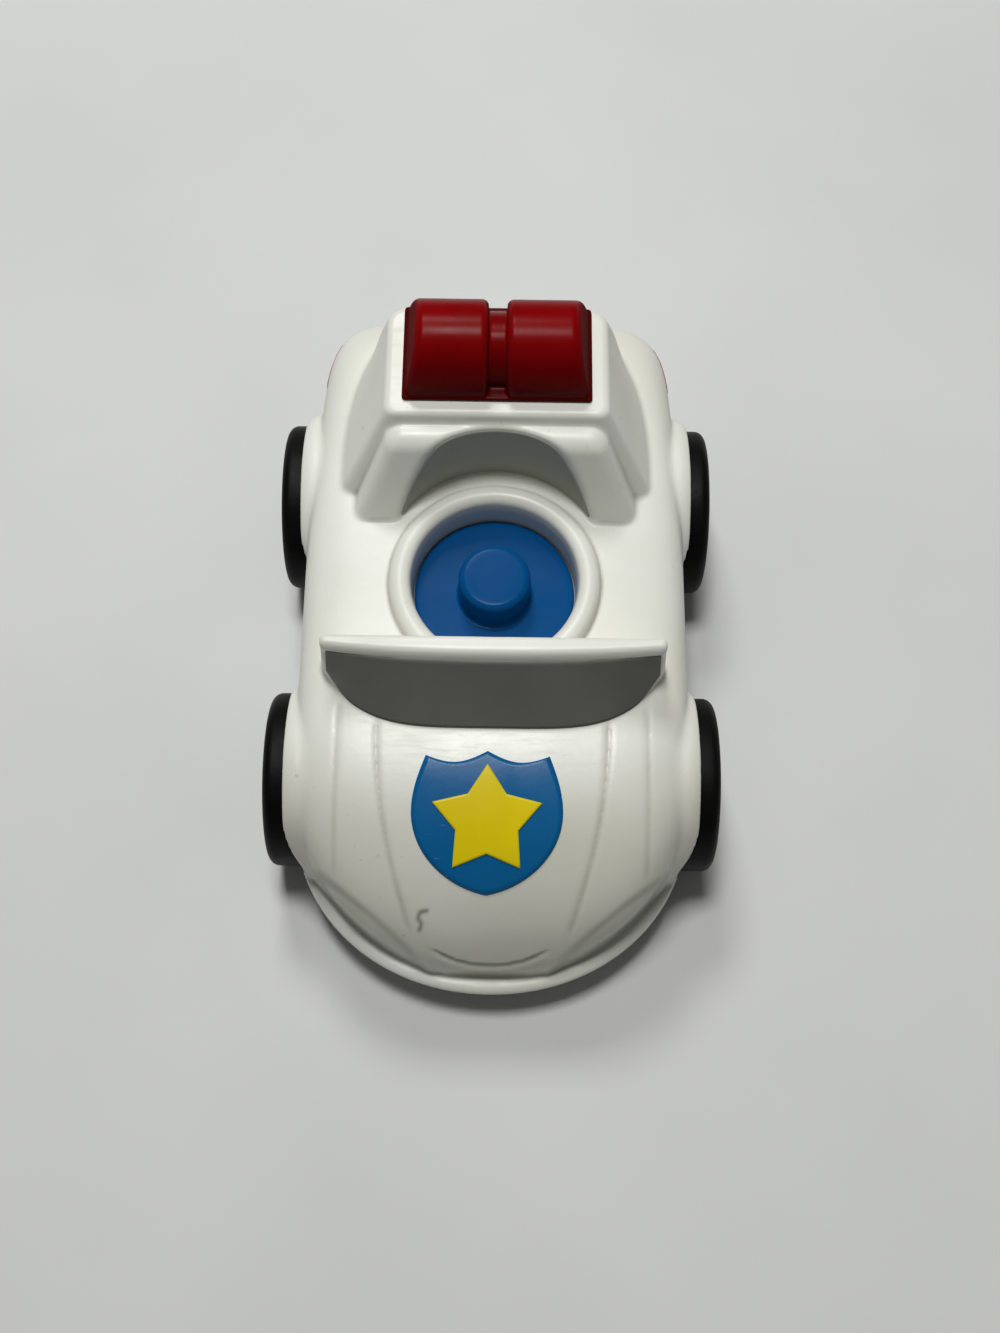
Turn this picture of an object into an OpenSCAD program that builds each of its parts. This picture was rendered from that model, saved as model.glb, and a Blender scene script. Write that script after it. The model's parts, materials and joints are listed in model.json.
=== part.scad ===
// Push-along toy police car: a hollow moulded body on a flat chassis, two freely turning
// wheel sets, a swivelling seat plate with a figure peg, a clear red light bar and printed labels.
// The front of the car faces -Y, +X is to the right seen from the front of the photograph,
// +Z is up, and the origin is on the ground under the middle of the car.

/* [Body] */
// Length from the front bumper to the tail
body_length = 160; // [150:1:175]
// Width of the body sides between the wheel arches
body_width = 87; // [84:0.5:92]
// Height of the deck round the seat above the ground
deck_height = 46; // [45:0.5:50]
// Height of the lower edge of the body above the ground
body_clearance = 9; // [7:0.5:11]
// Height at which the sides start to round over
waist_height = 12; // [11.5:0.5:15]
// Thickness of the moulded walls
wall = 2.4; // [2:0.1:2.8]
// How far the front bumper stands out from the nose
bumper_reach = 2.2; // [1.5:0.1:4]
// Thickness of the bumper bead
bumper_thickness = 2.6; // [2:0.1:3.5]
// How far the tail stops short of the overall length
tail_reach = 1.5; // [1:0.25:3]
// Length of the sloping hood
hood_length = 57.8; // [52:0.2:62]
// Length over which the front corners round off
front_round = 39.8; // [36:0.2:44]
// Length over which the tail rounds off
tail_round = 58.5; // [54:0.5:62]
// Half width that the sides lose towards the tail
tail_taper = 3; // [1:0.25:5]

/* [Windshield] */
// Height of the windshield above the deck
screen_height = 14.5; // [12:0.5:17]
// Width of the windshield along its straight back
screen_width = 73; // [70:1:76]
// Width of the windshield where it meets the hood
screen_foot_width = 78; // [74:1:80]
// Place of the straight back face
screen_back_y = -13.2; // [-14.5:0.1:-13]
// Bow of the front face at the top
screen_top_bow = 4.2; // [3:0.1:6]
// Bow of the front face at the deck
screen_foot_bow = 15.2; // [12:0.2:17]
// Height of the white rim above the grey screen
screen_rim = 1.8; // [1.2:0.1:2.5]
// Thickness of the grey screen and of the grey seat back lining
lining = 0.5; // [0.3:0.1:0.8]

/* [Seat] */
// Place of the seat's upright axis
seat_y = 5.5; // [4.5:0.25:6]
// Inner diameter of the seat collar
collar_bore = 36.8; // [35:0.2:38]
// Outer diameter of the rounded collar
collar_outer = 47; // [45:0.2:48]
// Height of the collar above the deck
collar_height = 3; // [2.5:0.1:4]
// Depth of the seat plate below the top of the collar
seat_depth = 9; // [7:0.25:10]
// Thickness of the seat plate
seat_thickness = 2; // [1.6:0.1:2.4]
// Gap round the edge of the seat plate
seat_gap = 0.4; // [0.3:0.05:0.6]
// Diameter of the figure peg
peg_d = 16; // [14:0.2:18]
// Height of the figure peg above the plate
peg_height = 9; // [7:0.25:10]
// Rounding at the top of the peg
peg_round = 1.6; // [1:0.1:2]
// Diameter of the spindle under the plate
spindle_d = 8; // [7:0.1:9]

/* [Cab hump] */
// Height of the roof plate above the deck
roof_rise = 22; // [20:0.5:25]
// Width of the roof plate
roof_width = 48.4; // [46:0.2:51]
// Place of the front edge of the roof
roof_front_y = 35.3; // [34:0.1:37]
// Length of the roof plate
roof_length = 27; // [25:0.5:29]
// Width of the hump at the deck
hump_width = 69.6; // [67:0.2:72]
// Place of the hump's foot in front
hump_front_y = 27.5; // [26.5:0.1:29]
// Length of the hump at the deck
hump_length = 42; // [40:0.5:44]
// Width of the hump at its rear foot
hump_rear_width = 57; // [54:0.5:60]
// Radius of the upright corners of the hump
hump_corner = 3; // [3:0.25:5]
// Width of the seat back at the deck
back_width = 63; // [60:0.5:65]
// Place of the seat back's foot
back_front_y = 20.3; // [19.5:0.1:21.5]
// Drop of the seat back's top edge below the roof
back_drop = 2.5; // [2:0.1:4]
// How far the seat back's rounded top stands in front of the roof
back_proud = 6; // [5:0.1:7]
// Radius of the rounded top of the seat back
back_round = 2.5; // [2:0.25:4]
// Radius of the hollow in the seat back round the figure
hollow_r = 25.2; // [24:0.1:26]
// Distance of the hollow's axis behind the seat's axis
hollow_setback = 2.7; // [2:0.1:3.5]

/* [Light bar] */
// Width of the lens at its foot
lens_width = 41.4; // [39:0.2:43]
// Depth of the lens at its foot
lens_depth = 23.5; // [21:0.5:24]
// Height of the lens
lens_height = 13.5; // [11:0.5:15]
// Gap between the front edge of the roof and the lens
lens_setback = 3.1; // [2:0.1:4]
// Width of the groove between the two lobes
lens_groove = 4.4; // [3:0.2:6]
// Depth of the groove
lens_groove_depth = 2.8; // [2:0.1:4]
// Thickness of the lens wall
lens_wall = 1.8; // [1.5:0.1:2.2]
// Width of the lens at its top
lens_top_width = 34.6; // [33:0.2:38]

/* [Wheels] */
// Outer diameter of a wheel
wheel_d = 39.3; // [38:0.1:39.6]
// Width of a wheel
wheel_width = 13; // [12:0.25:14]
// Distance between the outer faces of the wheels
track_outer = 100; // [99:0.5:102]
// Distance of the front axle from the nose
front_overhang = 45.2; // [44:0.1:46.5]
// Distance of the rear axle from the tail
rear_overhang = 41.7; // [40:0.1:43]
// Rounding of a wheel's edges
wheel_round = 2; // [1:0.1:3]
// Thickness of a wheel's rim
rim_wall = 4.5; // [3:0.25:6]
// Diameter of a wheel's hub
hub_d = 14; // [10:0.5:16]
// Depth of the dish in a wheel's outer face
dish_depth = 2.5; // [1.5:0.1:3.5]
// Depth of the hollow in a wheel's inner face
core_depth = 6; // [4:0.25:7]
// Thickness of the hub over the axle's end
wheel_cap = 2.5; // [2:0.1:4]
// Diameter of an axle
axle_d = 4; // [3.5:0.1:4.5]
// Running clearance round an axle or the seat spindle, on the radius
running_clearance = 0.06; // [0.03:0.01:0.09]
// Gap between a wheel and its arch
arch_gap = 1; // [0.8:0.1:1.2]
// Thickness of the arch round a wheel
arch_wall = 2; // [1.6:0.1:2.4]
// Distance between the flanks of the arches
arch_width = 93.6; // [92:0.2:95]
// Rounding of the arch's outer edge
arch_round = 5; // [3:0.25:6]

/* [Chassis] */
// Thickness of the chassis plate
chassis_thickness = 2; // [1.8:0.1:2.5]
// Gap between the chassis plate and the body
chassis_gap = 0.5; // [0.4:0.05:0.7]
// Width of an axle saddle along the axle
saddle_width = 6; // [5:0.5:7]
// Length of an axle saddle
saddle_length = 10; // [9:0.5:12]
// Gap between an axle saddle and the wheel housing beside it
saddle_gap = 6.6; // [5:0.2:9]
// Thickness of an axle keeper above the axle's middle
keeper_height = 6; // [5:0.5:7]
// Distance of a keeper screw from the saddle's middle, along the axle
keeper_screw_setback = 9; // [7:0.5:11]

/* [Fasteners] */
// Thread diameter of the self-tapping screws
screw_d = 3; // [2.6:0.1:3.2]
// Head diameter of the screws
screw_head_d = 5.6; // [5:0.1:6]
// Head height of the screws
screw_head_height = 1.8; // [1.5:0.1:2.2]
// Length of a screw under its head
screw_length = 9; // [8:0.5:10]
// Clearance of a screw in the plate that it holds, on the radius
screw_clearance = 0.25; // [0.15:0.05:0.4]
// Distance of the front body screws behind the front axle
front_post_setback = 15.9; // [15:0.1:17]
// Distance of the rear body screws in front of the rear axle
rear_post_setback = 20; // [18:0.25:21]
// Wall of the posts that the screws bite into
post_wall = 2; // [1.6:0.1:2.4]
// Diameter of the washer under the seat
washer_d = 15; // [13:0.5:17]
// Thickness of the washer under the seat
washer_thickness = 1.2; // [1:0.1:1.6]
// End play of the seat plate and of the washer
seat_play = 0.3; // [0.2:0.05:0.4]

/* [Labels] */
// Thickness of a printed label
label_thickness = 0.3; // [0.2:0.05:0.4]
// Lift of a label above the curved surface under it
label_lift = 0.05; // [0.03:0.01:0.08]
// Width of the shield on the hood
shield_width = 32.3; // [30:0.1:35]
// Length of the shield on the hood
shield_length = 30.6; // [28:0.2:33]
// Shift of the shield from the centre line, as the label was put on
shield_x = -0.9; // [-1.5:0.1:1.5]
// Place of the shield's middle, as a share of the way from the nose to the windshield's foot
shield_place_share = 0.597; // [0.57:0.001:0.62]
// Length of a label on the sloping hood seen from above, as a share of its real length
hood_slope_share = 0.95; // [0.9:0.01:1]
// Distance from the star's middle to its tips
star_r = 12.3; // [11:0.1:13]
// Shift of the star's middle towards the shield's top
star_shift = 0; // [-1:0.1:1]
// Distance of a tail lamp label's rear end from the tail
tail_label_setback = 4.5; // [3:0.25:6]
// Length of a tail lamp label
tail_label_length = 13; // [11:0.5:14]
// Height of a tail lamp label
tail_label_height = 8; // [6:0.25:9]
// Height of a tail lamp label's lower edge
tail_label_z = 29.5; // [27:0.5:31]

/* [Hidden] */
$fn = 64;
white = [0.90, 0.90, 0.86];
grey = [0.30, 0.31, 0.29];
dark = [0.10, 0.10, 0.09];
blue = [0.02, 0.27, 0.50];
red = [0.55, 0.02, 0.04];
yellow = [0.85, 0.74, 0.03];
steel = [0.70, 0.71, 0.72];
// One overrun serves every cut
overrun = wall / 2;
cut_reach = body_length;

// Places that follow from the sizes above
nose_y = bumper_reach - body_length / 2;
tail_y = body_length / 2 - tail_reach;
hood_y = nose_y + hood_length;
front_round_y = nose_y + front_round;
tail_round_y = tail_y - tail_round;
shield_y = nose_y + shield_place_share * (screen_back_y - screen_foot_bow - nose_y);
tail_label_y = tail_y - tail_label_setback - tail_label_length;
deck_rise = deck_height - waist_height;
front_axle_y = nose_y + front_overhang;
rear_axle_y = tail_y - rear_overhang;
axle_z = wheel_d / 2;
wheel_x = track_outer / 2 - wheel_width;
arch_r = wheel_d / 2 + arch_gap;
arch_outer_r = arch_r + arch_wall;
arch_inner_x = wheel_x - arch_gap;
roof_z = deck_height + roof_rise;
collar_top = deck_height + collar_height;
collar_bead_r = (collar_outer - collar_bore) / 4;
seat_z = collar_top - seat_depth;
seat_floor_z = seat_z - seat_thickness - seat_play;
seat_floor_under_z = seat_floor_z - wall;
spindle_end_z = seat_floor_under_z - seat_play;
chassis_top = body_clearance + chassis_thickness;
hollow_y = seat_y + hollow_setback;
lens_y = roof_front_y + lens_setback + lens_depth / 2;
pilot_r = screw_d / 2;
post_r = screw_d / 2 + post_wall;
saddle_x = arch_inner_x - wall - saddle_gap - saddle_width / 2;
keeper_screw_x = saddle_x - keeper_screw_setback;
post_x = saddle_x + saddle_width / 2;
front_post_y = front_axle_y + front_post_setback;
rear_post_y = rear_axle_y - rear_post_setback;

// Squareness of the cross sections: 2 is an ellipse, more is boxier
deck_squareness = 9;
nose_squareness = 2.6;
hood_squareness = 2.1;
front_plan_squareness = 2.05;
tail_squareness = 7;
tail_plan_squareness = 7.5;
tail_drop_squareness = 9;
// Squareness of the windshield's bow at its top and at its foot
screen_top_squareness = 2.5;
screen_foot_squareness = 5;
// Smallest angle at which the lofted ends are closed
end_angle = 5;
section_steps = 36;
station_step = 6;
inner_section_steps = 18;
inner_station_step = 12;

// Sizes that only one piece carries
foot_sink = 2 * wall;
hump_rod = wall / 2;
back_corner = hump_corner;
screen_end = wall;
screen_foot_rim = wall / 2;
post_foot_z = chassis_top + screw_head_height + post_wall;
screw_seat_z = post_foot_z - post_wall;
screw_head_r = screw_head_d / 2 + screw_clearance;
screw_cup_r = screw_head_r + post_wall;
keeper_screw_offset = axle_d / 2 + post_r + running_clearance + chassis_gap;
keeper_seat_top = axle_z + keeper_height - screw_head_height;
keeper_seat_z = keeper_seat_top - screw_length;
lens_post_x = lens_width / 4;
lens_rib_x = lens_groove / 2;

// Counts and shares
hull_fn = 32;
screen_steps = 15;
lens_steps = 30;
label_rings = 10;
label_steps = 8;
star_edge_steps = 4;
tail_label_steps = 24;
tail_label_squareness = 4;
shield_corner_share = [0.82, 0.93];
shield_scoop_share = 0.13;
shield_widest_share = 0.12;
shield_point_share = 0.25;
shield_foot_angle = acos(shield_point_share / (1 + shield_point_share));
star_waist_share = 0.57;

// Share of a round end that is left at the share t of its length
function round_left(t, n) = pow(max(0, 1 - pow(max(0, t), n)), 1 / n);
// Half width of the body at the place y, inside the outer face by inset
function half_width(y, inset) =
    y < front_round_y ? (body_width / 2 - inset)
        * round_left((front_round_y - y) / (front_round - inset), front_plan_squareness)
    : (body_width / 2 - inset - tail_taper * max(0, y - tail_round_y) / tail_round)
        * round_left((y - tail_round_y) / (tail_round - inset), tail_plan_squareness);
// Height of the body's top above its waist at the place y, inside the outer face by inset
function top_rise(y, inset) =
    y < hood_y ? (deck_rise - inset) * round_left((hood_y - y) / (hood_length - inset), hood_squareness)
    : (deck_rise - inset) * round_left((y - tail_round_y) / (tail_round - inset), tail_drop_squareness);
// Squareness of the cross section at the place y
function squareness(y) =
    y < hood_y ? nose_squareness
        + (deck_squareness - nose_squareness) * sqrt(max(0, (y - nose_y) / hood_length))
    : deck_squareness
        + (tail_squareness - deck_squareness) * pow(max(0, (y - tail_round_y) / tail_round), 2);
// Height of the body's outer face over the place x, y
function surface_z(x, y) =
    waist_height + top_rise(y, 0) * round_left(abs(x) / half_width(y, 0), squareness(y));
// Half width of the body's outer face at the place y and the height z
function surface_x(y, z) =
    half_width(y, 0) * round_left((z - waist_height) / top_rise(y, 0), squareness(y));
// One point of a cross section, at an angle from the right side over the top
function section_point(y, inset, angle) =
    let (n = squareness(y), w = half_width(y, inset), h = top_rise(y, inset))
    let (r = 1 / pow(pow(abs(cos(angle)) / w, n) + pow(abs(sin(angle)) / h, n), 1 / n))
    [r * cos(angle), y, waist_height + r * sin(angle)];
// The whole cross section with its straight skirt
function section(y, inset, bottom, steps) =
    let (w = half_width(y, inset))
    concat(
        [[w, y, bottom]],
        [for (k = [0:steps]) section_point(y, inset, 180 * k / steps)],
        [[-w, y, bottom]]
    );
// The places of the cross sections, close together at both ends
function stations(inset, step) = concat(
    [for (a = [end_angle:step:90 - step / 2]) hood_y - (hood_length - inset) * cos(a)],
    [hood_y, tail_round_y],
    [for (a = [step:step:90 - end_angle]) tail_round_y + (tail_round - inset) * sin(a)]
);

// Middle of a row of points
function middle(row) = [for (axis = [0:2]) (min([for (p = row) p[axis]]) + max([for (p = row) p[axis]])) / 2];

// Closed solid through rows of points that all have the same count, with a fan of faces on each end
module loft(rows) {
    count = len(rows[0]);
    last = len(rows) - 1;
    first_middle = len(rows) * count;
    last_middle = first_middle + 1;
    sides = [for (i = [0:last - 1], j = [0:count - 1])
        let (a = i * count + j, b = i * count + (j + 1) % count)
        each [[a, b, a + count], [b, b + count, a + count]]];
    ends = [for (j = [0:count - 1])
        let (k = (j + 1) % count)
        each [[first_middle, k, j], [last_middle, last * count + j, last * count + k]]];
    points = concat([for (row = rows) each row], [middle(rows[0]), middle(rows[last])]);
    polyhedron(points, concat(sides, ends), convexity = 6);
}

// Thin label that follows a curved face: rings of points from its middle out to its outline,
// where face(p, lift) gives the point above the place p
module draped_label(outline, place, lift, face) {
    count = len(outline);
    spread = [for (ring = [1:label_rings], p = outline) place + p * ring / label_rings];
    plan = concat([place], spread);
    total = len(plan);
    upper = [for (p = plan) face(p, lift + label_thickness)];
    lower = [for (p = plan) face(p, lift)];
    fan = [for (j = [0:count - 1]) [0, 1 + j, 1 + (j + 1) % count]];
    strips = [for (ring = [0:label_rings - 2], j = [0:count - 1])
        let (a = 1 + ring * count + j, b = 1 + ring * count + (j + 1) % count)
        each [[a, a + count, b], [b, a + count, b + count]]];
    top = concat(fan, strips);
    under = [for (f = top) [f[2] + total, f[1] + total, f[0] + total]];
    edge = [for (j = [0:count - 1])
        let (a = total - count + j, b = total - count + (j + 1) % count)
        each [[a, a + total, b + total], [a, b + total, b]]];
    polyhedron(concat(upper, lower), concat(top, under, edge), convexity = 4);
}

// The rounded tub of the body, inside its outer face by inset
module tub(inset, bottom, steps, step) {
    loft([for (y = stations(inset, step)) section(y, inset, bottom, steps)]);
}

// Plan outline of the body, inside its outer face by inset
module plan_outline(inset) {
    places = stations(inset, station_step);
    right = [for (y = places) [half_width(y, inset), y]];
    left = [for (k = [len(places) - 1:-1:0]) [-half_width(places[k], inset), places[k]]];
    polygon(concat(right, left));
}

// Everything below the lower edge of the body
module below_body() {
    translate([-cut_reach, -cut_reach, body_clearance - cut_reach])
        cube([2 * cut_reach, 2 * cut_reach, cut_reach]);
}

// Children along each wheel's axis, pointing outwards from the centre line
module at_each_wheel() {
    for (y = [front_axle_y, rear_axle_y], side = [-1, 1]) {
        translate([0, y, axle_z]) rotate([0, 90 * side, 0]) children();
    }
}

// Children mirrored to both sides of the car
module both_sides() {
    children();
    mirror([1, 0, 0]) children();
}

// Round-edged drum that forms a wheel arch and its housing
module arch_drum() {
    depth = arch_width / 2 - arch_inner_x + wall;
    translate([0, 0, arch_inner_x - wall]) rotate_extrude() {
        square([arch_outer_r - arch_round, depth]);
        square([arch_outer_r, depth - arch_round]);
        translate([arch_outer_r - arch_round, depth - arch_round]) intersection() {
            circle(arch_round);
            square(arch_round);
        }
    }
}

// Bead along the foot of the body, standing out by reach, over one end of the car
module foot_bead(reach, from_y, to_y) {
    translate([0, 0, waist_height - bumper_thickness / 2]) linear_extrude(bumper_thickness) intersection() {
        plan_outline(-reach);
        translate([-track_outer / 2, from_y]) square([track_outer, to_y - from_y]);
    }
}

// Slice of the windshield: straight at the back, bowed at the front
module screen_slice(width, bow, squareness, back_y, end, height) {
    front = [for (k = [0:screen_steps])
        let (t = sin(90 * (2 * k / screen_steps - 1)))
        [t * width / 2, back_y - end - (bow - end) * (1 - pow(abs(t), squareness))]];
    linear_extrude(height) polygon(concat(front, [[width / 2, back_y], [-width / 2, back_y]]));
}

// Windshield block with its bowed face pushed out by push
module screen_block(push) {
    hull() {
        translate([0, 0, deck_height + screen_height - screen_rim])
            screen_slice(screen_width, screen_top_bow + push, screen_top_squareness,
                screen_back_y, screen_end + push, screen_rim);
        translate([0, 0, deck_height - foot_sink])
            screen_slice(screen_foot_width, screen_foot_bow + push, screen_foot_squareness,
                screen_back_y, screen_end + push, foot_sink);
    }
}

// Hollow inside the windshield block, open below
module screen_core() {
    core_width = 2 * (post_x - post_r - wall);
    hull() {
        translate([0, 0, deck_height + screen_height - screen_rim - wall])
            screen_slice(core_width, screen_top_bow - wall, screen_top_squareness,
                screen_back_y - wall, 0, screen_rim);
        translate([0, 0, deck_height - foot_sink])
            screen_slice(core_width, screen_foot_bow - wall, screen_foot_squareness,
                screen_back_y - wall, 0, foot_sink);
    }
}

// Upright corner rods of the hump, inside its outer face by inset
module hump_rods(width, rear_width, front_y, rear_y, front_z, rear_z, inset) {
    r = hump_corner - inset;
    both_sides() {
        translate([width / 2 - hump_corner, front_y + hump_corner, front_z])
            cylinder(r = r, h = hump_rod, $fn = hull_fn);
        translate([rear_width / 2 - hump_corner, rear_y - hump_corner, rear_z])
            cylinder(r = r, h = hump_rod, $fn = hull_fn);
    }
}

// Hump behind the seat, inside its outer face by inset, with its foot sunk below the deck
module hump(inset, sink) {
    rear_foot_z = surface_z(hump_rear_width / 2, hump_front_y + hump_length) - sink;
    hull() {
        hump_rods(hump_width, hump_rear_width, hump_front_y, hump_front_y + hump_length,
            deck_height - sink, rear_foot_z, inset);
        hump_rods(roof_width, roof_width, roof_front_y, roof_front_y + roof_length,
            roof_z - inset - hump_rod, roof_z - inset - hump_rod, inset);
    }
}

// Block of the seat back in front of the hump
module back_block() {
    top_x = roof_width / 2 - back_round;
    foot_z = deck_height - foot_sink;
    hull() {
        both_sides() translate([back_width / 2 - back_corner, back_front_y + back_corner, foot_z])
            cylinder(r = back_corner, h = foot_sink, $fn = hull_fn);
        translate([-top_x, roof_front_y - back_proud + back_round, roof_z - back_drop - back_round])
            rotate([0, 90, 0]) cylinder(r = back_round, h = 2 * top_x, $fn = hull_fn);
        translate([-back_width / 2, roof_front_y + back_round, foot_z])
            cube([back_width, back_round, foot_sink]);
    }
}

// Upright cylinder on the seat's axis
module on_seat_axis(r, from_z, to_z) {
    translate([0, seat_y, from_z]) cylinder(r = r, h = to_z - from_z);
}

// Rear half of the hollow round the figure, wider by margin
module seat_hollow(margin, from_z) {
    r = hollow_r + margin;
    intersection() {
        translate([0, hollow_y, from_z]) cylinder(r = r, h = roof_z - from_z);
        translate([-r, hollow_y, 0]) cube([2 * r, r, roof_z]);
    }
}

// Rounded collar that stands on the deck round the seat
module collar() {
    translate([0, seat_y, 0]) rotate_extrude() {
        translate([collar_bore / 2, deck_height - overrun])
            square([2 * collar_bead_r, collar_height + overrun - collar_bead_r]);
        translate([collar_bore / 2 + collar_bead_r, collar_top - collar_bead_r]) circle(collar_bead_r);
    }
}

// Children at each body screw
module at_each_post() {
    both_sides() {
        translate([post_x, front_post_y, 0]) children();
        translate([post_x, rear_post_y, 0]) children();
    }
}

// Children at each lens screw
module at_each_lens_screw() {
    both_sides() translate([lens_post_x, lens_y, 0]) children();
}

// Pan head screw with its head below z = 0 and its shank upwards
module screw() {
    translate([0, 0, -screw_head_height]) cylinder(d = screw_head_d, h = screw_head_height);
    cylinder(d = screw_d, h = screw_length);
}

// Slot that lets one axle into the wheel housings from below
module axle_slot(y) {
    r = axle_d / 2 + arch_gap;
    translate([-arch_inner_x - overrun, y, axle_z]) {
        rotate([0, 90, 0]) cylinder(r = r, h = 2 * (arch_inner_x + overrun));
        translate([0, -r, -axle_z]) cube([2 * (arch_inner_x + overrun), 2 * r, axle_z]);
    }
}

// Outer form of the body before it is hollowed
module body_outer() {
    tub(0, body_clearance, section_steps, station_step);
    foot_bead(bumper_reach, nose_y - bumper_reach, front_axle_y);
    foot_bead(tail_reach, rear_axle_y, tail_y + tail_reach);
    screen_block(0);
    difference() {
        union() {
            hump(0, foot_sink);
            back_block();
        }
        seat_hollow(0, deck_height - 2 * foot_sink);
    }
}

// Space inside the body
module body_inside() {
    tub(wall, body_clearance - overrun, inner_section_steps, inner_station_step);
    difference() {
        hump(wall, 2 * foot_sink);
        seat_hollow(wall, deck_height - 3 * foot_sink);
    }
    screen_core();
}

module body_shell() {
    color(white) difference() {
        union() {
            difference() {
                body_outer();
                body_inside();
            }
            difference() {
                at_each_wheel() arch_drum();
                below_body();
            }
            on_seat_axis(collar_bore / 2 + wall, seat_floor_under_z, deck_height - wall / 2);
            collar();
            at_each_post() translate([0, 0, post_foot_z])
                cylinder(r = post_r, h = deck_height - wall - post_foot_z + overrun);
        }
        at_each_wheel() translate([0, 0, arch_inner_x]) cylinder(r = arch_r, h = cut_reach);
        on_seat_axis(collar_bore / 2, seat_floor_z, roof_z);
        on_seat_axis(spindle_d / 2 + running_clearance,
            seat_floor_under_z - overrun, seat_floor_z + overrun);
        for (y = [front_axle_y, rear_axle_y]) axle_slot(y);
        at_each_post() translate([0, 0, post_foot_z - overrun])
            cylinder(r = pilot_r, h = screw_length + overrun);
        at_each_lens_screw() translate([0, 0, roof_z - wall - overrun])
            cylinder(r = pilot_r + screw_clearance, h = wall + 2 * overrun);
    }
}

// Grey screen on the windshield's bowed face
module windshield_screen() {
    color(grey) intersection() {
        difference() {
            screen_block(lining);
            screen_block(0);
        }
        translate([-screen_width / 2, screen_back_y - screen_end - lining, deck_height + screen_foot_rim])
            rotate([90, 0, 0]) linear_extrude(cut_reach)
                square([screen_width, screen_height - screen_rim - screen_foot_rim]);
    }
}

// Grey lining of the hollow in the seat back
module seat_back_lining() {
    color(grey) intersection() {
        translate([0, hollow_y, deck_height]) rotate_extrude()
            translate([hollow_r - lining, 0]) square([lining, roof_rise - back_drop]);
        back_block();
    }
}

// Half ellipse standing on the roof, seen from the side
module lens_profile(depth, height) {
    polygon([for (k = [0:lens_steps])
        let (a = 180 * k / lens_steps)
        [depth / 2 * cos(a), height * sin(a)]]);
}

// Length of lens profile between two places across the car
module lens_run(from_x, to_x, depth, height) {
    translate([from_x, lens_y, roof_z]) rotate([90, 0, 90]) linear_extrude(to_x - from_x)
        lens_profile(depth, height);
}

module light_bar_lens() {
    inner_depth = lens_depth - 2 * lens_wall;
    inner_x = lens_top_width / 2 - lens_wall;
    color(red) difference() {
        union() {
            difference() {
                intersection() {
                    union() {
                        lens_run(-lens_width / 2, -lens_groove / 2, lens_depth, lens_height);
                        lens_run(-lens_groove / 2, lens_groove / 2,
                            lens_depth - lens_groove_depth, lens_height - lens_groove_depth);
                        lens_run(lens_groove / 2, lens_width / 2, lens_depth, lens_height);
                    }
                    translate([0, lens_y + lens_depth / 2, roof_z]) rotate([90, 0, 0])
                        linear_extrude(lens_depth) polygon([
                            [-lens_width / 2, 0], [lens_width / 2, 0],
                            [lens_top_width / 2, lens_height], [-lens_top_width / 2, lens_height]
                        ]);
                }
                for (side = [-1, 1]) {
                    lens_run(min(side * inner_x, side * lens_rib_x), max(side * inner_x, side * lens_rib_x),
                        inner_depth, lens_height - lens_wall);
                }
            }
            at_each_lens_screw() translate([0, 0, roof_z])
                cylinder(r = post_r, h = lens_height - lens_wall + lens_wall / 3);
        }
        at_each_lens_screw() translate([0, 0, roof_z - overrun])
            cylinder(r = pilot_r, h = screw_length - wall + overrun);
    }
}

// Outline of the shield: scooped top, bowed sides, and a foot of two arcs that meet in a point
function shield_right() = concat(
    [for (k = [0:label_steps - 1]) let (t = k / label_steps)
        [shield_corner_share[0] * t,
            1 - (1 - shield_corner_share[1]) * t - shield_scoop_share * sin(180 * t)]],
    [for (k = [0:label_steps - 1]) let (t = k / label_steps)
        [shield_corner_share[0] + (1 - shield_corner_share[0]) * sin(90 * t),
            shield_corner_share[1] - (shield_corner_share[1] - shield_widest_share) * t]],
    [for (k = [0:2 * label_steps]) let (a = shield_foot_angle * k / label_steps / 2)
        [(1 + shield_point_share) * cos(a) - shield_point_share,
            shield_widest_share - (1 + shield_widest_share) * sin(a) / sin(shield_foot_angle)]]
);
function shield_outline() =
    let (right = shield_right(), last = len(right) - 1)
    let (full = concat(right, [for (k = [last - 1:-1:1]) [-right[k][0], right[k][1]]]))
    [for (p = full) [p[0] * shield_width / 2, p[1] * shield_length / 2]];

// Label on the hood, whose outline is drawn flat
module hood_label(outline, shift, lift) {
    sloped = [for (p = outline) [p[0], p[1] * hood_slope_share]];
    draped_label(sloped, [shield_x, shield_y + shift], lift,
        function (p, rise) [p[0], p[1], surface_z(p[0], p[1]) + rise]);
}

module badge_shield() {
    color(blue) hood_label(shield_outline(), 0, label_lift);
}

module badge_star() {
    corners = [for (k = [0:9])
        let (r = star_r * (k % 2 == 0 ? 1 : star_waist_share), a = 90 - 36 * k)
        [r * cos(a), r * sin(a)]];
    outline = [for (k = [0:9], step = [0:star_edge_steps - 1])
        corners[k] + (corners[(k + 1) % 10] - corners[k]) * step / star_edge_steps];
    color(yellow) hood_label(outline, star_shift, 3 * label_lift + label_thickness);
}

// Label with rounded corners on the side of the tail, on the right of the car
module tail_label() {
    outline = [for (k = [0:tail_label_steps - 1])
        let (a = -360 * k / tail_label_steps)
        let (r = 1 / pow(pow(abs(cos(a)), tail_label_squareness) + pow(abs(sin(a)), tail_label_squareness),
            1 / tail_label_squareness))
        [tail_label_length / 2 * r * cos(a), tail_label_height / 2 * r * sin(a)]];
    place = [tail_label_y + tail_label_length / 2, tail_label_z + tail_label_height / 2];
    color(red) draped_label(outline, place, label_lift,
        function (p, rise) [surface_x(p[0], p[1]) + rise, p[0], p[1]]);
}

module tail_label_right() {
    tail_label();
}

module tail_label_left() {
    mirror([1, 0, 0]) tail_label();
}

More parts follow.
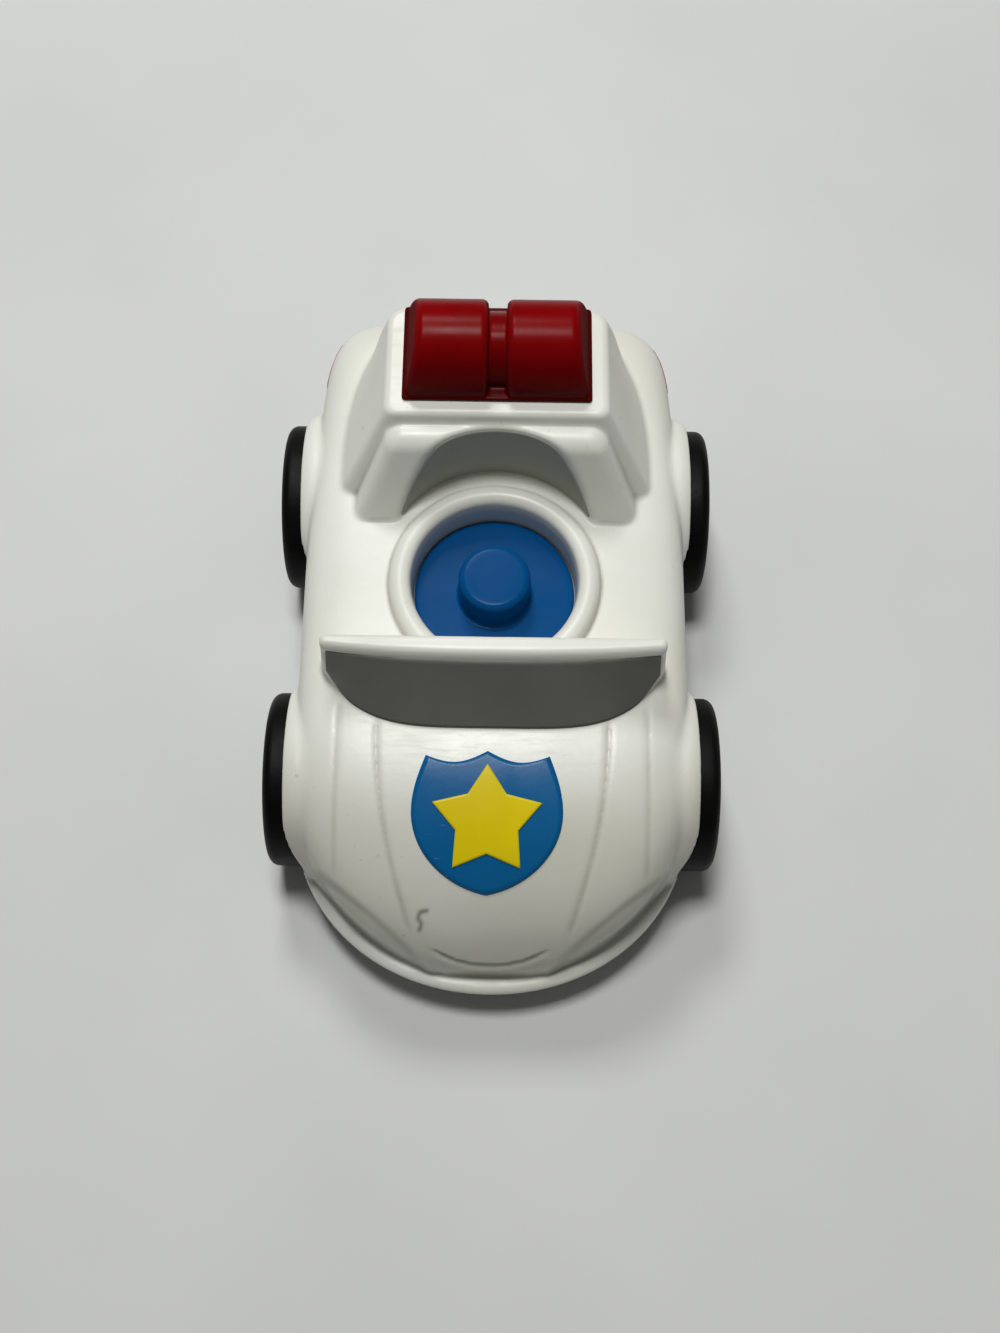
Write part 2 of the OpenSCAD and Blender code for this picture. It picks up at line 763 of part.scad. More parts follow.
// Places of the keeper screws of the axle at y, on opposite sides of the axle
module at_keeper_screws(y) {
    for (side = [-1, 1]) translate([side * keeper_screw_x, y + side * keeper_screw_offset, 0]) children();
}

// Bore along one axle
module axle_bore(y) {
    reach = saddle_x + saddle_width;
    translate([-reach, y, axle_z]) rotate([0, 90, 0])
        cylinder(r = axle_d / 2 + running_clearance, h = 2 * reach);
}

module chassis() {
    housing_x = arch_inner_x - wall - chassis_gap;
    housing_y = arch_outer_r + chassis_gap;
    color(dark) difference() {
        union() {
            translate([0, 0, body_clearance]) linear_extrude(chassis_thickness) difference() {
                plan_outline(wall + chassis_gap);
                both_sides() for (y = [front_axle_y, rear_axle_y])
                    translate([housing_x, y - housing_y]) square([track_outer, 2 * housing_y]);
            }
            at_each_post() translate([0, 0, body_clearance])
                cylinder(r = screw_cup_r, h = post_foot_z - body_clearance);
            for (y = [front_axle_y, rear_axle_y]) {
                both_sides() translate([saddle_x - saddle_width / 2, y - saddle_length / 2, body_clearance])
                    cube([saddle_width, saddle_length, axle_z - body_clearance]);
                at_keeper_screws(y) translate([0, 0, body_clearance])
                    cylinder(r = post_r, h = axle_z - body_clearance);
            }
        }
        for (y = [front_axle_y, rear_axle_y]) {
            axle_bore(y);
            at_keeper_screws(y) translate([0, 0, keeper_seat_z])
                cylinder(r = pilot_r, h = screw_length + overrun);
        }
        at_each_post() {
            translate([0, 0, body_clearance - overrun])
                cylinder(r = screw_head_r, h = screw_seat_z - body_clearance + overrun);
            cylinder(r = pilot_r + screw_clearance, h = post_foot_z + overrun);
        }
    }
}

// Bar that holds one axle down in its saddles
module axle_keeper(y) {
    half_x = saddle_x + saddle_width / 2;
    half_y = keeper_screw_offset + post_r;
    color(dark) difference() {
        translate([-half_x, y - half_y, axle_z]) cube([2 * half_x, 2 * half_y, keeper_height]);
        axle_bore(y);
        at_keeper_screws(y) {
            translate([0, 0, axle_z - overrun])
                cylinder(r = pilot_r + screw_clearance, h = keeper_height + 2 * overrun);
            translate([0, 0, keeper_seat_top])
                cylinder(r = screw_head_r, h = keeper_height);
        }
    }
}

module front_axle_keeper() {
    axle_keeper(front_axle_y);
}

module rear_axle_keeper() {
    axle_keeper(rear_axle_y);
}

module axle(y) {
    reach = track_outer / 2 - wheel_cap;
    color(steel) translate([-reach, y, axle_z]) rotate([0, 90, 0])
        cylinder(d = axle_d, h = 2 * reach);
}

module front_axle() {
    axle(front_axle_y);
}

module rear_axle() {
    axle(rear_axle_y);
}

// One wheel, side -1 on the left and 1 on the right
module wheel(side, y) {
    r = wheel_d / 2;
    color(dark) translate([side * wheel_x, y, axle_z]) rotate([0, 90 * side, 0]) difference() {
        rotate_extrude() {
            square([r - wheel_round, wheel_width]);
            translate([0, wheel_round]) square([r, wheel_width - 2 * wheel_round]);
            for (z = [wheel_round, wheel_width - wheel_round])
                translate([r - wheel_round, z]) circle(wheel_round);
        }
        translate([0, 0, wheel_width - dish_depth]) difference() {
            cylinder(r = r - rim_wall, h = dish_depth + overrun);
            cylinder(d = hub_d, h = dish_depth + overrun);
        }
        translate([0, 0, -overrun]) difference() {
            cylinder(r = r - rim_wall, h = core_depth + overrun);
            cylinder(d = hub_d, h = core_depth + overrun);
        }
        translate([0, 0, -overrun]) cylinder(d = axle_d, h = wheel_width - wheel_cap + overrun);
    }
}

module wheel_front_left() {
    wheel(-1, front_axle_y);
}

module wheel_front_right() {
    wheel(1, front_axle_y);
}

module wheel_rear_left() {
    wheel(-1, rear_axle_y);
}

module wheel_rear_right() {
    wheel(1, rear_axle_y);
}

module seat_plate() {
    color(blue) difference() {
        union() {
            on_seat_axis(collar_bore / 2 - seat_gap, seat_z - seat_thickness, seat_z);
            on_seat_axis(spindle_d / 2, spindle_end_z, seat_z);
            translate([0, seat_y, seat_z]) {
                cylinder(d = peg_d, h = peg_height - peg_round);
                rotate_extrude() {
                    square([peg_d / 2 - peg_round, peg_height]);
                    translate([peg_d / 2 - peg_round, peg_height - peg_round]) intersection() {
                        circle(peg_round);
                        square(peg_round);
                    }
                }
            }
        }
        on_seat_axis(pilot_r, spindle_end_z - overrun, spindle_end_z - washer_thickness + screw_length);
    }
}

module seat_washer() {
    color(steel) difference() {
        on_seat_axis(washer_d / 2, spindle_end_z - washer_thickness, spindle_end_z);
        on_seat_axis(pilot_r + screw_clearance,
            spindle_end_z - washer_thickness - overrun, spindle_end_z + overrun);
    }
}

module seat_screw() {
    color(steel) translate([0, seat_y, spindle_end_z - washer_thickness]) screw();
}

module body_screws() {
    color(steel) at_each_post() translate([0, 0, screw_seat_z]) screw();
}

module keeper_screws() {
    color(steel) for (y = [front_axle_y, rear_axle_y])
        at_keeper_screws(y) translate([0, 0, keeper_seat_top]) rotate([180, 0, 0]) screw();
}

module lens_screws() {
    color(steel) at_each_lens_screw() translate([0, 0, roof_z - wall]) screw();
}

body_shell();
windshield_screen();
seat_back_lining();
light_bar_lens();
badge_shield();
badge_star();
tail_label_left();
tail_label_right();
chassis();
front_axle();
rear_axle();
wheel_front_left();
wheel_front_right();
wheel_rear_left();
wheel_rear_right();
front_axle_keeper();
rear_axle_keeper();
seat_plate();
seat_washer();
seat_screw();
body_screws();
keeper_screws();
lens_screws();
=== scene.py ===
import json
import math

import bmesh
import bpy
import numpy as np
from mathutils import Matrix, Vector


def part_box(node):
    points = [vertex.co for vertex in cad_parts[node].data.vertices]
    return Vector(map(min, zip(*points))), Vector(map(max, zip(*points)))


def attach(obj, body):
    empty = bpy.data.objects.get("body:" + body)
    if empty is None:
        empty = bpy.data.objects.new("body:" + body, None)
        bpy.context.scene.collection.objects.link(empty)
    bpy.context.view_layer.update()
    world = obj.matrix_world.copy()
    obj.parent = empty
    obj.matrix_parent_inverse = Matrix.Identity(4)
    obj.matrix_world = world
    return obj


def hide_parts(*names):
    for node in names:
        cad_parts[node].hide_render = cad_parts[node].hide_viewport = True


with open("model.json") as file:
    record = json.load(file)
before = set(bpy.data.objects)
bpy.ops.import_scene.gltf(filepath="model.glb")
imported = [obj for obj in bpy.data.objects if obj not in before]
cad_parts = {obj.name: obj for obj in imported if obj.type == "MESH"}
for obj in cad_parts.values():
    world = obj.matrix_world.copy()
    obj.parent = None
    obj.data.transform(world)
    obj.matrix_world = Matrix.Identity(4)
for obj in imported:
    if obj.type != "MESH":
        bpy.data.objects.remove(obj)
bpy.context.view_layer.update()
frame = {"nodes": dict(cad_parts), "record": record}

import openvdb
from mathutils import Matrix, Vector

# Toy police car: moulded body, red roof light, seat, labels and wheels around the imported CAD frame.
# Lengths are in millimetres until a mesh is made; the front of the car faces -Y.
MM = 0.001


def node_box(name):
    """Lowest and highest corner of a CAD node, in millimetres."""
    low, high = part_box(name)
    return np.array(low) / MM, np.array(high) / MM


def middle(low, high, axis):
    """Middle of a box along one axis."""
    return (low[axis] + high[axis]) / 2


# Sizes read from the frame
lens_low, lens_high = node_box("light_bar_lens")
seat_low, seat_high = node_box("seat_plate")
wheel_low, wheel_high = node_box("wheel_front_right")
rear_wheel_low, rear_wheel_high = node_box("wheel_rear_right")
SEAT_Y = middle(seat_low, seat_high, 1)
ROOF_Z = lens_low[2]
LENS_Y = middle(lens_low, lens_high, 1)
WHEEL_R = (wheel_high[2] - wheel_low[2]) / 2
WHEEL_X = wheel_low[0]
AXLE_Z = middle(wheel_low, wheel_high, 2)
AXLES_Y = [middle(wheel_low, wheel_high, 1), middle(rear_wheel_low, rear_wheel_high, 1)]

# Body sizes, close to those of the CAD model
BODY_WIDTH, DECK, CLEARANCE, WAIST, WALL = 87.0, 46.0, 9.0, 12.0, 2.4
NOSE_Y, TAIL_Y = -77.8, 78.5
HOOD_LENGTH, FRONT_ROUND, TAIL_ROUND, TAIL_TAPER = 57.8, 39.8, 58.5, 3.0
DECK_RISE = DECK - WAIST
HOOD_Y = NOSE_Y + HOOD_LENGTH
FRONT_ROUND_Y = NOSE_Y + FRONT_ROUND
TAIL_ROUND_Y = TAIL_Y - TAIL_ROUND
BUMPER_REACH, TAIL_REACH, BEAD_R, FLANGE_DEPTH = 1.9, 1.1, 1.4, 3.0

# Exponents of the body's rounds; a higher one is squarer
DECK_SQUARENESS, NOSE_SQUARENESS, TAIL_SQUARENESS = 9.0, 2.6, 7.2
HOOD_SQUARENESS, FRONT_PLAN_SQUARENESS, TAIL_PLAN_SQUARENESS = 2.1, 2.05, 7.5

# Windshield
SCREEN_TOP, SCREEN_RIM, SCREEN_BACK_Y, SCREEN_END = 60.5, 1.8, -13.2, 2.4
SCREEN_HALF, SCREEN_FOOT_HALF, SCREEN_BOW, SCREEN_FOOT_BOW = 36.5, 37.4, 4.2, 15.2
SCREEN_SQUARENESS, SCREEN_FOOT_SQUARENESS = 2.5, 4.4
SCREEN_EDGE, SCREEN_CORNER, SCREEN_ROOT = 0.8, 1.0, 6.0
RIM_HEIGHT, RIM_PROUD, RIM_FILLET = 2.1, 0.5, 0.3

# Seat and its well
COLLAR_BORE_R, COLLAR_OUTER_R, COLLAR_TOP = 18.4, 23.5, 49.0
SEAT_Z, SEAT_THICKNESS, PEG_R, PEG_ROUND = 40.0, 2.0, 8.0, 1.6
WELL_FLOOR_Z, SEAT_WELL_EDGE, SPINDLE_R, SPINDLE_GAP = 37.7, 0.5, 4.0, 0.2

# Hump and seat back
ROOF_HALF, ROOF_FRONT_Y, ROOF_REAR_Y, ROOF_EDGE = 24.2, 35.3, 62.3, 0.9
HUMP_HALF, HUMP_FRONT_Y, HUMP_REAR_Y, HUMP_REAR_HALF = 34.8, 27.5, 69.5, 25.6
HUMP_CORNER, HUMP_REAR_CORNER, HUMP_ROOT = 2.2, 4.0, 10.0
BACK_HALF, BACK_TOP_HALF, BACK_FRONT_Y, BACK_TOP_Y = 31.5, 23.4, 20.3, 29.6
BACK_TOP_Z, BACK_ROUND, BACK_CORNER, BACK_REACH, BACK_ROOT = 65.5, 2.8, 2.6, 8.0, 5.0
HOLLOW_R, HOLLOW_Y, HOLLOW_EDGE, LINING = 25.2, SEAT_Y + 2.7, 0.8, 0.5

# How the hump narrows to the rear, and the share of its height down to which its sides lean
HUMP_PLAN_POWER, HUMP_LOWEST_SHARE = 3, -0.3

# Wheel arches and inner posts
ARCH_GAP, ARCH_WALL, ARCH_HALF, ARCH_ROUND = 1.0, 2.0, 46.8, 5.0
ARCH_SLIM_Z, ARCH_SLIM_HEIGHT = 20.0, 16.0
AXLE_SLOT_HALF, WHEEL_WELL_EDGE = 3.0, 0.8
POST_X, POST_YS, POST_R, POST_FOOT_Z = 27.0, (-16.7, 16.8), 3.5, 14.8

# How far under the deck's top the posts and the seat's tube end
UNDER_DECK = 1.0

# Height of the thin flange round the roof light's foot
LENS_FLANGE_HIGH = 1.0

# Fillets where the forms meet
BEAD_FILLET, SCREEN_FILLET, CAB_FILLET = 1.0, 0.5, 0.6
BACK_FILLET, ARCH_FILLET, COLLAR_FILLET = 0.5, 0.9, 0.4

# Limits that keep divisions finite
TINY, LEAST_SLOPE, LEAST_LENS_SLOPE = 1e-12, 1e-3, 1e-4


# Distance fields: negative inside, in millimetres

def round_union(a, b, r):
    """Union of two distances with a fillet of radius r."""
    return np.maximum(r, np.minimum(a, b)) - np.hypot(np.maximum(r - a, 0), np.maximum(r - b, 0))


def round_overlap(a, b, r):
    """Intersection of two distances with an edge of radius r."""
    return -round_union(-a, -b, r)


def round_cut(a, b, r):
    """The first distance without the second, with an edge of radius r."""
    return round_overlap(a, -b, r)


def ridge(t):
    """1 at zero, fading out on both sides."""
    return np.exp(-t * t)


def smooth_step(t):
    """From 0 to 1 without a corner while t goes from 0 to 1."""
    t = np.clip(t, 0, 1)
    return t * t * (3 - 2 * t)


def round_left(t, n):
    """Share of a round end that is left at the share t of its length."""
    return np.maximum(0, 1 - np.maximum(0, t) ** n) ** (1 / n)


def tail_taper(y):
    """How far each side draws in towards the tail."""
    return TAIL_TAPER * np.maximum(0, y - TAIL_ROUND_Y) / TAIL_ROUND


def half_width(y, inset=0.0):
    """Half of the body's width in front of the tail's round."""
    share = (FRONT_ROUND_Y - y) / (FRONT_ROUND - inset)
    return (BODY_WIDTH / 2 - inset) * round_left(share, FRONT_PLAN_SQUARENESS)


def top_rise(y, inset=0.0):
    """Height of the body over its waist in front of the tail's round."""
    share = (HOOD_Y - y) / (HOOD_LENGTH - inset)
    return (DECK_RISE - inset) * round_left(share, HOOD_SQUARENESS)


def squareness(y):
    """Exponent of the body's cross section."""
    nose_share = np.sqrt(np.maximum(0, (y - NOSE_Y) / HOOD_LENGTH))
    tail_share = np.maximum(0, (y - TAIL_ROUND_Y) / TAIL_ROUND) ** 2
    front = NOSE_SQUARENESS + (DECK_SQUARENESS - NOSE_SQUARENESS) * nose_share
    rear = DECK_SQUARENESS + (TAIL_SQUARENESS - DECK_SQUARENESS) * tail_share
    return np.where(y < HOOD_Y, front, rear)


def surface_z(x, y):
    """Height of the plain body's top over a place."""
    return WAIST + top_rise(y) * round_left(np.abs(x) / half_width(y), squareness(y))


def power_distance(total, n, steps):
    """Distance from where a sum of n-th powers is 1; steps is its squared slope."""
    slope = total ** (1 / n - 1) * np.sqrt(steps)
    return (total ** (1 / n) - 1) / np.maximum(slope, LEAST_SLOPE)


def front_tub(x, y, z, inset):
    """Cross sections that shrink towards the nose."""
    least, near = 0.05, 0.01
    w = np.maximum(half_width(y, inset), least)
    h = np.maximum(top_rise(y, inset), least)
    n = squareness(y)
    w_slope = (half_width(y + near, inset) - half_width(y - near, inset)) / (2 * near)
    h_slope = (top_rise(y + near, inset) - top_rise(y - near, inset)) / (2 * near)
    across, above = np.abs(x) / w, np.maximum(z - WAIST, 0) / h
    an, bn = across ** n, above ** n
    along = -(an * w_slope / w + bn * h_slope / h)
    steps = (across ** (n - 1) / w) ** 2 + (above ** (n - 1) / h) ** 2 + along ** 2
    return np.maximum(power_distance(an + bn + TINY, n, steps), NOSE_Y + inset - y)


def rear_tub(x, y, z, inset):
    """Box with round corners that ends in the flat tail."""
    n = squareness(y)
    w, h, reach = BODY_WIDTH / 2 - inset - tail_taper(y), DECK_RISE - inset, TAIL_ROUND - inset
    across, above = np.abs(x) / w, np.maximum(z - WAIST, 0) / h
    along = np.maximum(y - TAIL_ROUND_Y, 0) / reach
    total = across ** n + above ** n + along ** n + TINY
    steps = (across ** (n - 1) / w) ** 2 + (above ** (n - 1) / h) ** 2
    steps = steps + (along ** (n - 1) / reach) ** 2
    return power_distance(total, n, steps)


def tub(x, y, z, inset=0.0):
    """The rounded body."""
    return np.where(y < TAIL_ROUND_Y, front_tub(x, y, z, inset), rear_tub(x, y, z, inset))


def plan_distance(x, y):
    """Distance from the body's outline seen from above."""
    front = y < FRONT_ROUND_Y
    n = np.where(front, FRONT_PLAN_SQUARENESS, TAIL_PLAN_SQUARENESS)
    reach = np.where(front, FRONT_ROUND, TAIL_ROUND)
    width = BODY_WIDTH / 2 - tail_taper(y)
    across = np.abs(x) / width
    along = np.maximum(0, np.where(front, FRONT_ROUND_Y - y, y - TAIL_ROUND_Y)) / reach
    steps = (across ** (n - 1) / width) ** 2 + (along ** (n - 1) / reach) ** 2
    return power_distance(across ** n + along ** n + TINY, n, steps)


def foot_bead(x, y, z, reach):
    """Flange with a half-round edge along the foot of the body."""
    out = plan_distance(x, y)
    edge = np.hypot(np.maximum(out - (reach - BEAD_R), 0), z - WAIST) - BEAD_R
    return np.maximum(edge, -FLANGE_DEPTH - out)


# Hood relief: grooves, the edge of the lower fascia, the nose lip and the lean over the bumper
INNER_GROOVE_X, INNER_GROOVE_Y, INNER_GROOVE_BEND = 24.9, -28.0, 0.0045
INNER_GROOVE_START_Y, INNER_GROOVE_END_Y = INNER_GROOVE_Y + 2.0, -71.0
OUTER_GROOVE_X, OUTER_GROOVE_START_Y, OUTER_GROOVE_END_Y = 33.5, -22.0, -60.0
GROOVE_DEPTH, GROOVE_HALF, GROOVE_FADE, OUTER_GROOVE_SHARE = 0.28, 0.6, 3.0, 0.7
FASCIA_X, FASCIA_Y, FASCIA_SLOPE, FASCIA_STEP = 38.6, -56.5, 1.337, 0.8
FASCIA_BACK_Y, FASCIA_BACK_FADE, FASCIA_TOP_FADE = -50.0, 6.0, 8.0
LIP_Z, LIP_RISE, LIP_HALF, LIP_STEP, LIP_BACK_Y = 22.0, 4.4, 12.3, 1.1, -66.0
LIP_OVER, LIP_SIDE_FADE, LIP_BACK_FADE = 1.5, 4.0, 3.0
CHIN_DROP, CHIN_SWELL, CHIN_HALF = 2.6, 0.9, 1.1
TUCK, TUCK_TOP_Z, TUCK_HEIGHT, TUCK_BACK_Y, TUCK_FADE = 1.2, 31.0, 16.0, -52.0, 14.0
STEP_SOFTNESS = 0.9


def between(y, low, high, fade):
    """1 between two places, fading out at both."""
    return smooth_step((y - low) / fade) * smooth_step((high - y) / fade)


def soft_side(t):
    """0 below zero and 1 above it, with a short soft step."""
    return smooth_step(t / STEP_SOFTNESS + 0.5)


def inner_groove(x, y):
    """1 along the bent groove beside the shield, 0 away from it."""
    place = INNER_GROOVE_X - INNER_GROOVE_BEND * np.maximum(0, INNER_GROOVE_Y - y) ** 2
    length = between(y, INNER_GROOVE_END_Y, INNER_GROOVE_START_Y, GROOVE_FADE)
    return ridge((np.abs(x) - place) / GROOVE_HALF) * length


def outer_groove(x, y):
    """1 along the straight groove near the hood's side, 0 away from it."""
    length = between(y, OUTER_GROOVE_END_Y, OUTER_GROOVE_START_Y, GROOVE_FADE)
    return ridge((np.abs(x) - OUTER_GROOVE_X) / GROOVE_HALF) * length


def fascia_side(x, y):
    """Distance outside the diagonal edge between the hood and the lower fascia."""
    return (np.abs(x) - FASCIA_X - FASCIA_SLOPE * (y - FASCIA_Y)) / math.hypot(1, FASCIA_SLOPE)


def lip_z(x):
    """Height of the nose lip's curved edge."""
    return LIP_Z + LIP_RISE * (x / LIP_HALF) ** 2


def hood_relief(x, y, z):
    """How far the hood's surface is cut back."""
    cut = GROOVE_DEPTH * (inner_groove(x, y) + OUTER_GROOVE_SHARE * outer_groove(x, y))
    low = smooth_step((FASCIA_BACK_Y - y) / FASCIA_BACK_FADE)
    low = low * smooth_step((DECK - z) / FASCIA_TOP_FADE)
    cut = cut + FASCIA_STEP * soft_side(fascia_side(x, y)) * low
    inside = smooth_step((LIP_HALF + LIP_OVER - np.abs(x)) / LIP_SIDE_FADE)
    inside = inside * smooth_step((LIP_BACK_Y - y) / LIP_BACK_FADE)
    cut = cut + LIP_STEP * soft_side(lip_z(x) - z) * inside
    cut = cut - CHIN_SWELL * ridge((z - lip_z(x) + CHIN_DROP) / CHIN_HALF) * inside
    lean = smooth_step((TUCK_TOP_Z - z) / TUCK_HEIGHT) * smooth_step((TUCK_BACK_Y - y) / TUCK_FADE)
    return cut + TUCK * lean


def screen_share(z):
    """Share of the way from the windshield's foot to its rim."""
    return np.clip((z - DECK) / (SCREEN_TOP - SCREEN_RIM - DECK), 0, 1)


def screen_half(z):
    return SCREEN_FOOT_HALF + (SCREEN_HALF - SCREEN_FOOT_HALF) * screen_share(z)


def screen_depth(x, z):
    """Depth of the windshield from its straight back to its bowed face."""
    t = screen_share(z)
    n = SCREEN_FOOT_SQUARENESS + (SCREEN_SQUARENESS - SCREEN_FOOT_SQUARENESS) * t
    bow = SCREEN_FOOT_BOW + (SCREEN_BOW - SCREEN_FOOT_BOW) * t
    across = np.minimum(1, np.abs(x) / screen_half(z))
    return SCREEN_END + (bow - SCREEN_END) * (1 - across ** n)


def windshield(x, y, z):
    """Bowed windshield with a rolled rim along its top."""
    lean = math.hypot(1, (SCREEN_FOOT_BOW - SCREEN_BOW) / (SCREEN_TOP - DECK))
    face = (SCREEN_BACK_Y - screen_depth(x, z) - y) / lean
    block = round_overlap(face, y - SCREEN_BACK_Y, SCREEN_EDGE)
    block = round_overlap(block, np.abs(x) - screen_half(z), SCREEN_CORNER)
    block = round_overlap(block, z - SCREEN_TOP, SCREEN_CORNER)
    depth = screen_depth(x, np.full_like(z, SCREEN_TOP)) + RIM_PROUD
    along = (y - SCREEN_BACK_Y + depth / 2) / (depth / 2)
    above = (z - SCREEN_TOP + RIM_HEIGHT) / RIM_HEIGHT
    bar = (np.hypot(along, above) - 1) * RIM_HEIGHT
    bar = round_overlap(bar, np.abs(x) - SCREEN_HALF, SCREEN_CORNER)
    return round_union(np.maximum(block, DECK - SCREEN_ROOT - z), bar, RIM_FILLET)


def slanted(a, b, a0, b0, a1, b1):
    """Distance beyond the line through two places, on the side of growing a."""
    return ((a - a0) * (b1 - b0) - (b - b0) * (a1 - a0)) / math.hypot(a1 - a0, b1 - b0)


def hump(x, y, z):
    """Hump behind the seat, narrower towards the roof and the rear."""
    along = np.clip((y - HUMP_FRONT_Y) / (HUMP_REAR_Y - HUMP_FRONT_Y), 0, 1)
    foot = HUMP_HALF - (HUMP_HALF - HUMP_REAR_HALF) * along ** HUMP_PLAN_POWER
    high = np.clip((z - DECK) / (ROOF_Z - DECK), HUMP_LOWEST_SHARE, 1)
    lean = math.hypot(1, (HUMP_HALF - ROOF_HALF) / (ROOF_Z - DECK))
    side = (np.abs(x) - foot - (ROOF_HALF - foot) * high) / lean
    front = -slanted(y, z, HUMP_FRONT_Y, DECK, ROOF_FRONT_Y, ROOF_Z)
    rear = slanted(y, z, HUMP_REAR_Y, DECK, ROOF_REAR_Y, ROOF_Z)
    wall = round_overlap(round_overlap(side, front, HUMP_CORNER), rear, HUMP_REAR_CORNER)
    return np.maximum(round_overlap(wall, z - ROOF_Z, ROOF_EDGE), DECK - HUMP_ROOT - z)


def back_block(x, y, z):
    """Seat back in front of the hump, with a round top."""
    front = -slanted(y, z, BACK_FRONT_Y, DECK, BACK_TOP_Y, BACK_TOP_Z)
    side = slanted(np.abs(x), z, BACK_HALF, DECK, BACK_TOP_HALF, BACK_TOP_Z)
    form = round_overlap(front, z - BACK_TOP_Z, BACK_ROUND)
    form = round_overlap(form, side, BACK_CORNER)
    return np.maximum(np.maximum(form, y - ROOF_FRONT_Y - BACK_REACH), DECK - BACK_ROOT - z)


def seat_radius(x, y):
    return np.hypot(x, y - SEAT_Y)


def hollow_radius(x, y):
    return np.hypot(x, y - HOLLOW_Y)


def cab(x, y, z):
    """Hump and seat back with the hollow round the figure."""
    form = round_union(hump(x, y, z), back_block(x, y, z), BACK_FILLET)
    hollow = np.maximum(hollow_radius(x, y) - HOLLOW_R, HOLLOW_Y - y)
    return round_cut(form, hollow, HOLLOW_EDGE)


def wheel_radius(y, z, axle_y):
    return np.hypot(y - axle_y, z - AXLE_Z)


def arch(x, y, z, axle_y):
    """Round-edged drum round a wheel."""
    drum = wheel_radius(y, z, axle_y) - (WHEEL_R + ARCH_GAP + ARCH_WALL)
    swell = smooth_step((z - ARCH_SLIM_Z) / ARCH_SLIM_HEIGHT)
    flank = BODY_WIDTH / 2 + (ARCH_HALF - BODY_WIDTH / 2) * swell
    drum = round_overlap(drum, np.abs(x) - flank, ARCH_ROUND)
    return np.maximum(drum, WHEEL_X - ARCH_GAP - WALL - np.abs(x))


def body_inside(x, y, z):
    """Space inside the moulding."""
    room = np.maximum(hump(x, y, z) + WALL, HOLLOW_R + WALL - hollow_radius(x, y))
    relief = np.maximum(hood_relief(x, y, z), 0) * smooth_step((z - WAIST) / BEAD_R)
    return np.minimum(tub(x, y, z, WALL) + relief, room)


def body_distance(x, y, z):
    """The whole moulded body shell."""
    outer = tub(x, y, z) + hood_relief(x, y, z)
    front_bead = np.maximum(foot_bead(x, y, z, BUMPER_REACH), y - AXLES_Y[0])
    rear_bead = np.maximum(foot_bead(x, y, z, TAIL_REACH), AXLES_Y[1] - y)
    outer = round_union(outer, np.minimum(front_bead, rear_bead), BEAD_FILLET)
    outer = round_union(outer, windshield(x, y, z), SCREEN_FILLET)
    outer = round_union(outer, cab(x, y, z), CAB_FILLET)
    shell = np.maximum(outer, -body_inside(x, y, z))
    for axle_y in AXLES_Y:
        shell = round_union(shell, arch(x, y, z, axle_y), ARCH_FILLET)

    under_deck = z - DECK + UNDER_DECK
    from_seat = seat_radius(x, y)
    tube = np.maximum(from_seat - COLLAR_BORE_R - WALL, np.maximum(WELL_FLOOR_Z - WALL - z, under_deck))
    collar_r = (COLLAR_OUTER_R - COLLAR_BORE_R) / 2
    collar = np.hypot(from_seat - COLLAR_BORE_R - collar_r, z - COLLAR_TOP + collar_r) - collar_r
    shell = round_union(np.minimum(shell, tube), collar, COLLAR_FILLET)
    for post_y in POST_YS:
        post = np.hypot(np.abs(x) - POST_X, y - post_y) - POST_R
        shell = np.minimum(shell, np.maximum(post, np.maximum(POST_FOOT_Z - z, under_deck)))

    for axle_y in AXLES_Y:
        from_axle = wheel_radius(y, z, axle_y)
        well = np.maximum(from_axle - WHEEL_R - ARCH_GAP, WHEEL_X - ARCH_GAP - np.abs(x))
        slot = np.where(z > AXLE_Z, from_axle, np.abs(y - axle_y)) - AXLE_SLOT_HALF
        shell = round_cut(shell, np.minimum(well, slot), WHEEL_WELL_EDGE)
    bore = np.maximum(from_seat - COLLAR_BORE_R, WELL_FLOOR_Z - z)
    bore = np.minimum(bore, from_seat - SPINDLE_R - SPINDLE_GAP)
    return np.maximum(round_cut(shell, bore, SEAT_WELL_EDGE), CLEARANCE - z)


def lens_dome(y, z, deep, high):
    """Half-round form of the light: an ellipse in y and z, the same from side to side."""
    level = np.hypot(y / deep, z / high)
    slope = np.hypot(y / deep ** 2, z / high ** 2)
    return (level - 1) * level / np.maximum(slope, LEAST_LENS_SLOPE)


def lens_distance(x, y, z):
    """Two-lobed light on a thin flange; y and z are measured from its foot's middle."""
    width, length, height = lens_high - lens_low
    flange, flange_corner, flange_edge = 0.45, 0.8, 0.4
    lean, edge, top_gap = 3.4, 1.5, 0.05
    groove_half, groove_deep, groove_fillet, foot_fillet = 2.0, 2.6, 0.4, 0.3
    deep = length / 2 - flange
    side = slanted(np.abs(x), z, width / 2 - flange, 0, width / 2 - lean, height)
    lobe = round_overlap(lens_dome(y, z, deep, height - top_gap), side, edge)
    lobe = round_overlap(lobe, groove_half - np.abs(x), edge)
    waist = lens_dome(y, z, deep - groove_deep, height - groove_deep)
    waist = np.maximum(waist, np.abs(x) - groove_half - edge)
    plate = round_overlap(np.abs(x) - width / 2, np.abs(y) - length / 2, flange_corner)
    plate = round_overlap(plate, z - LENS_FLANGE_HIGH, flange_edge)
    light = round_union(round_union(lobe, waist, groove_fillet), plate, foot_fillet)
    return np.maximum(light, -z)


# Mesh making

# Distance past which a field isn't followed, and the steps that relax its mesh
FIELD_LIMIT = 3.0
RELAX_ROUNDS, RELAX_SHARES = 5, [0.5, -0.51]

# Radius that stands for zero at the ends of a turned outline
AXIS_R = 0.01


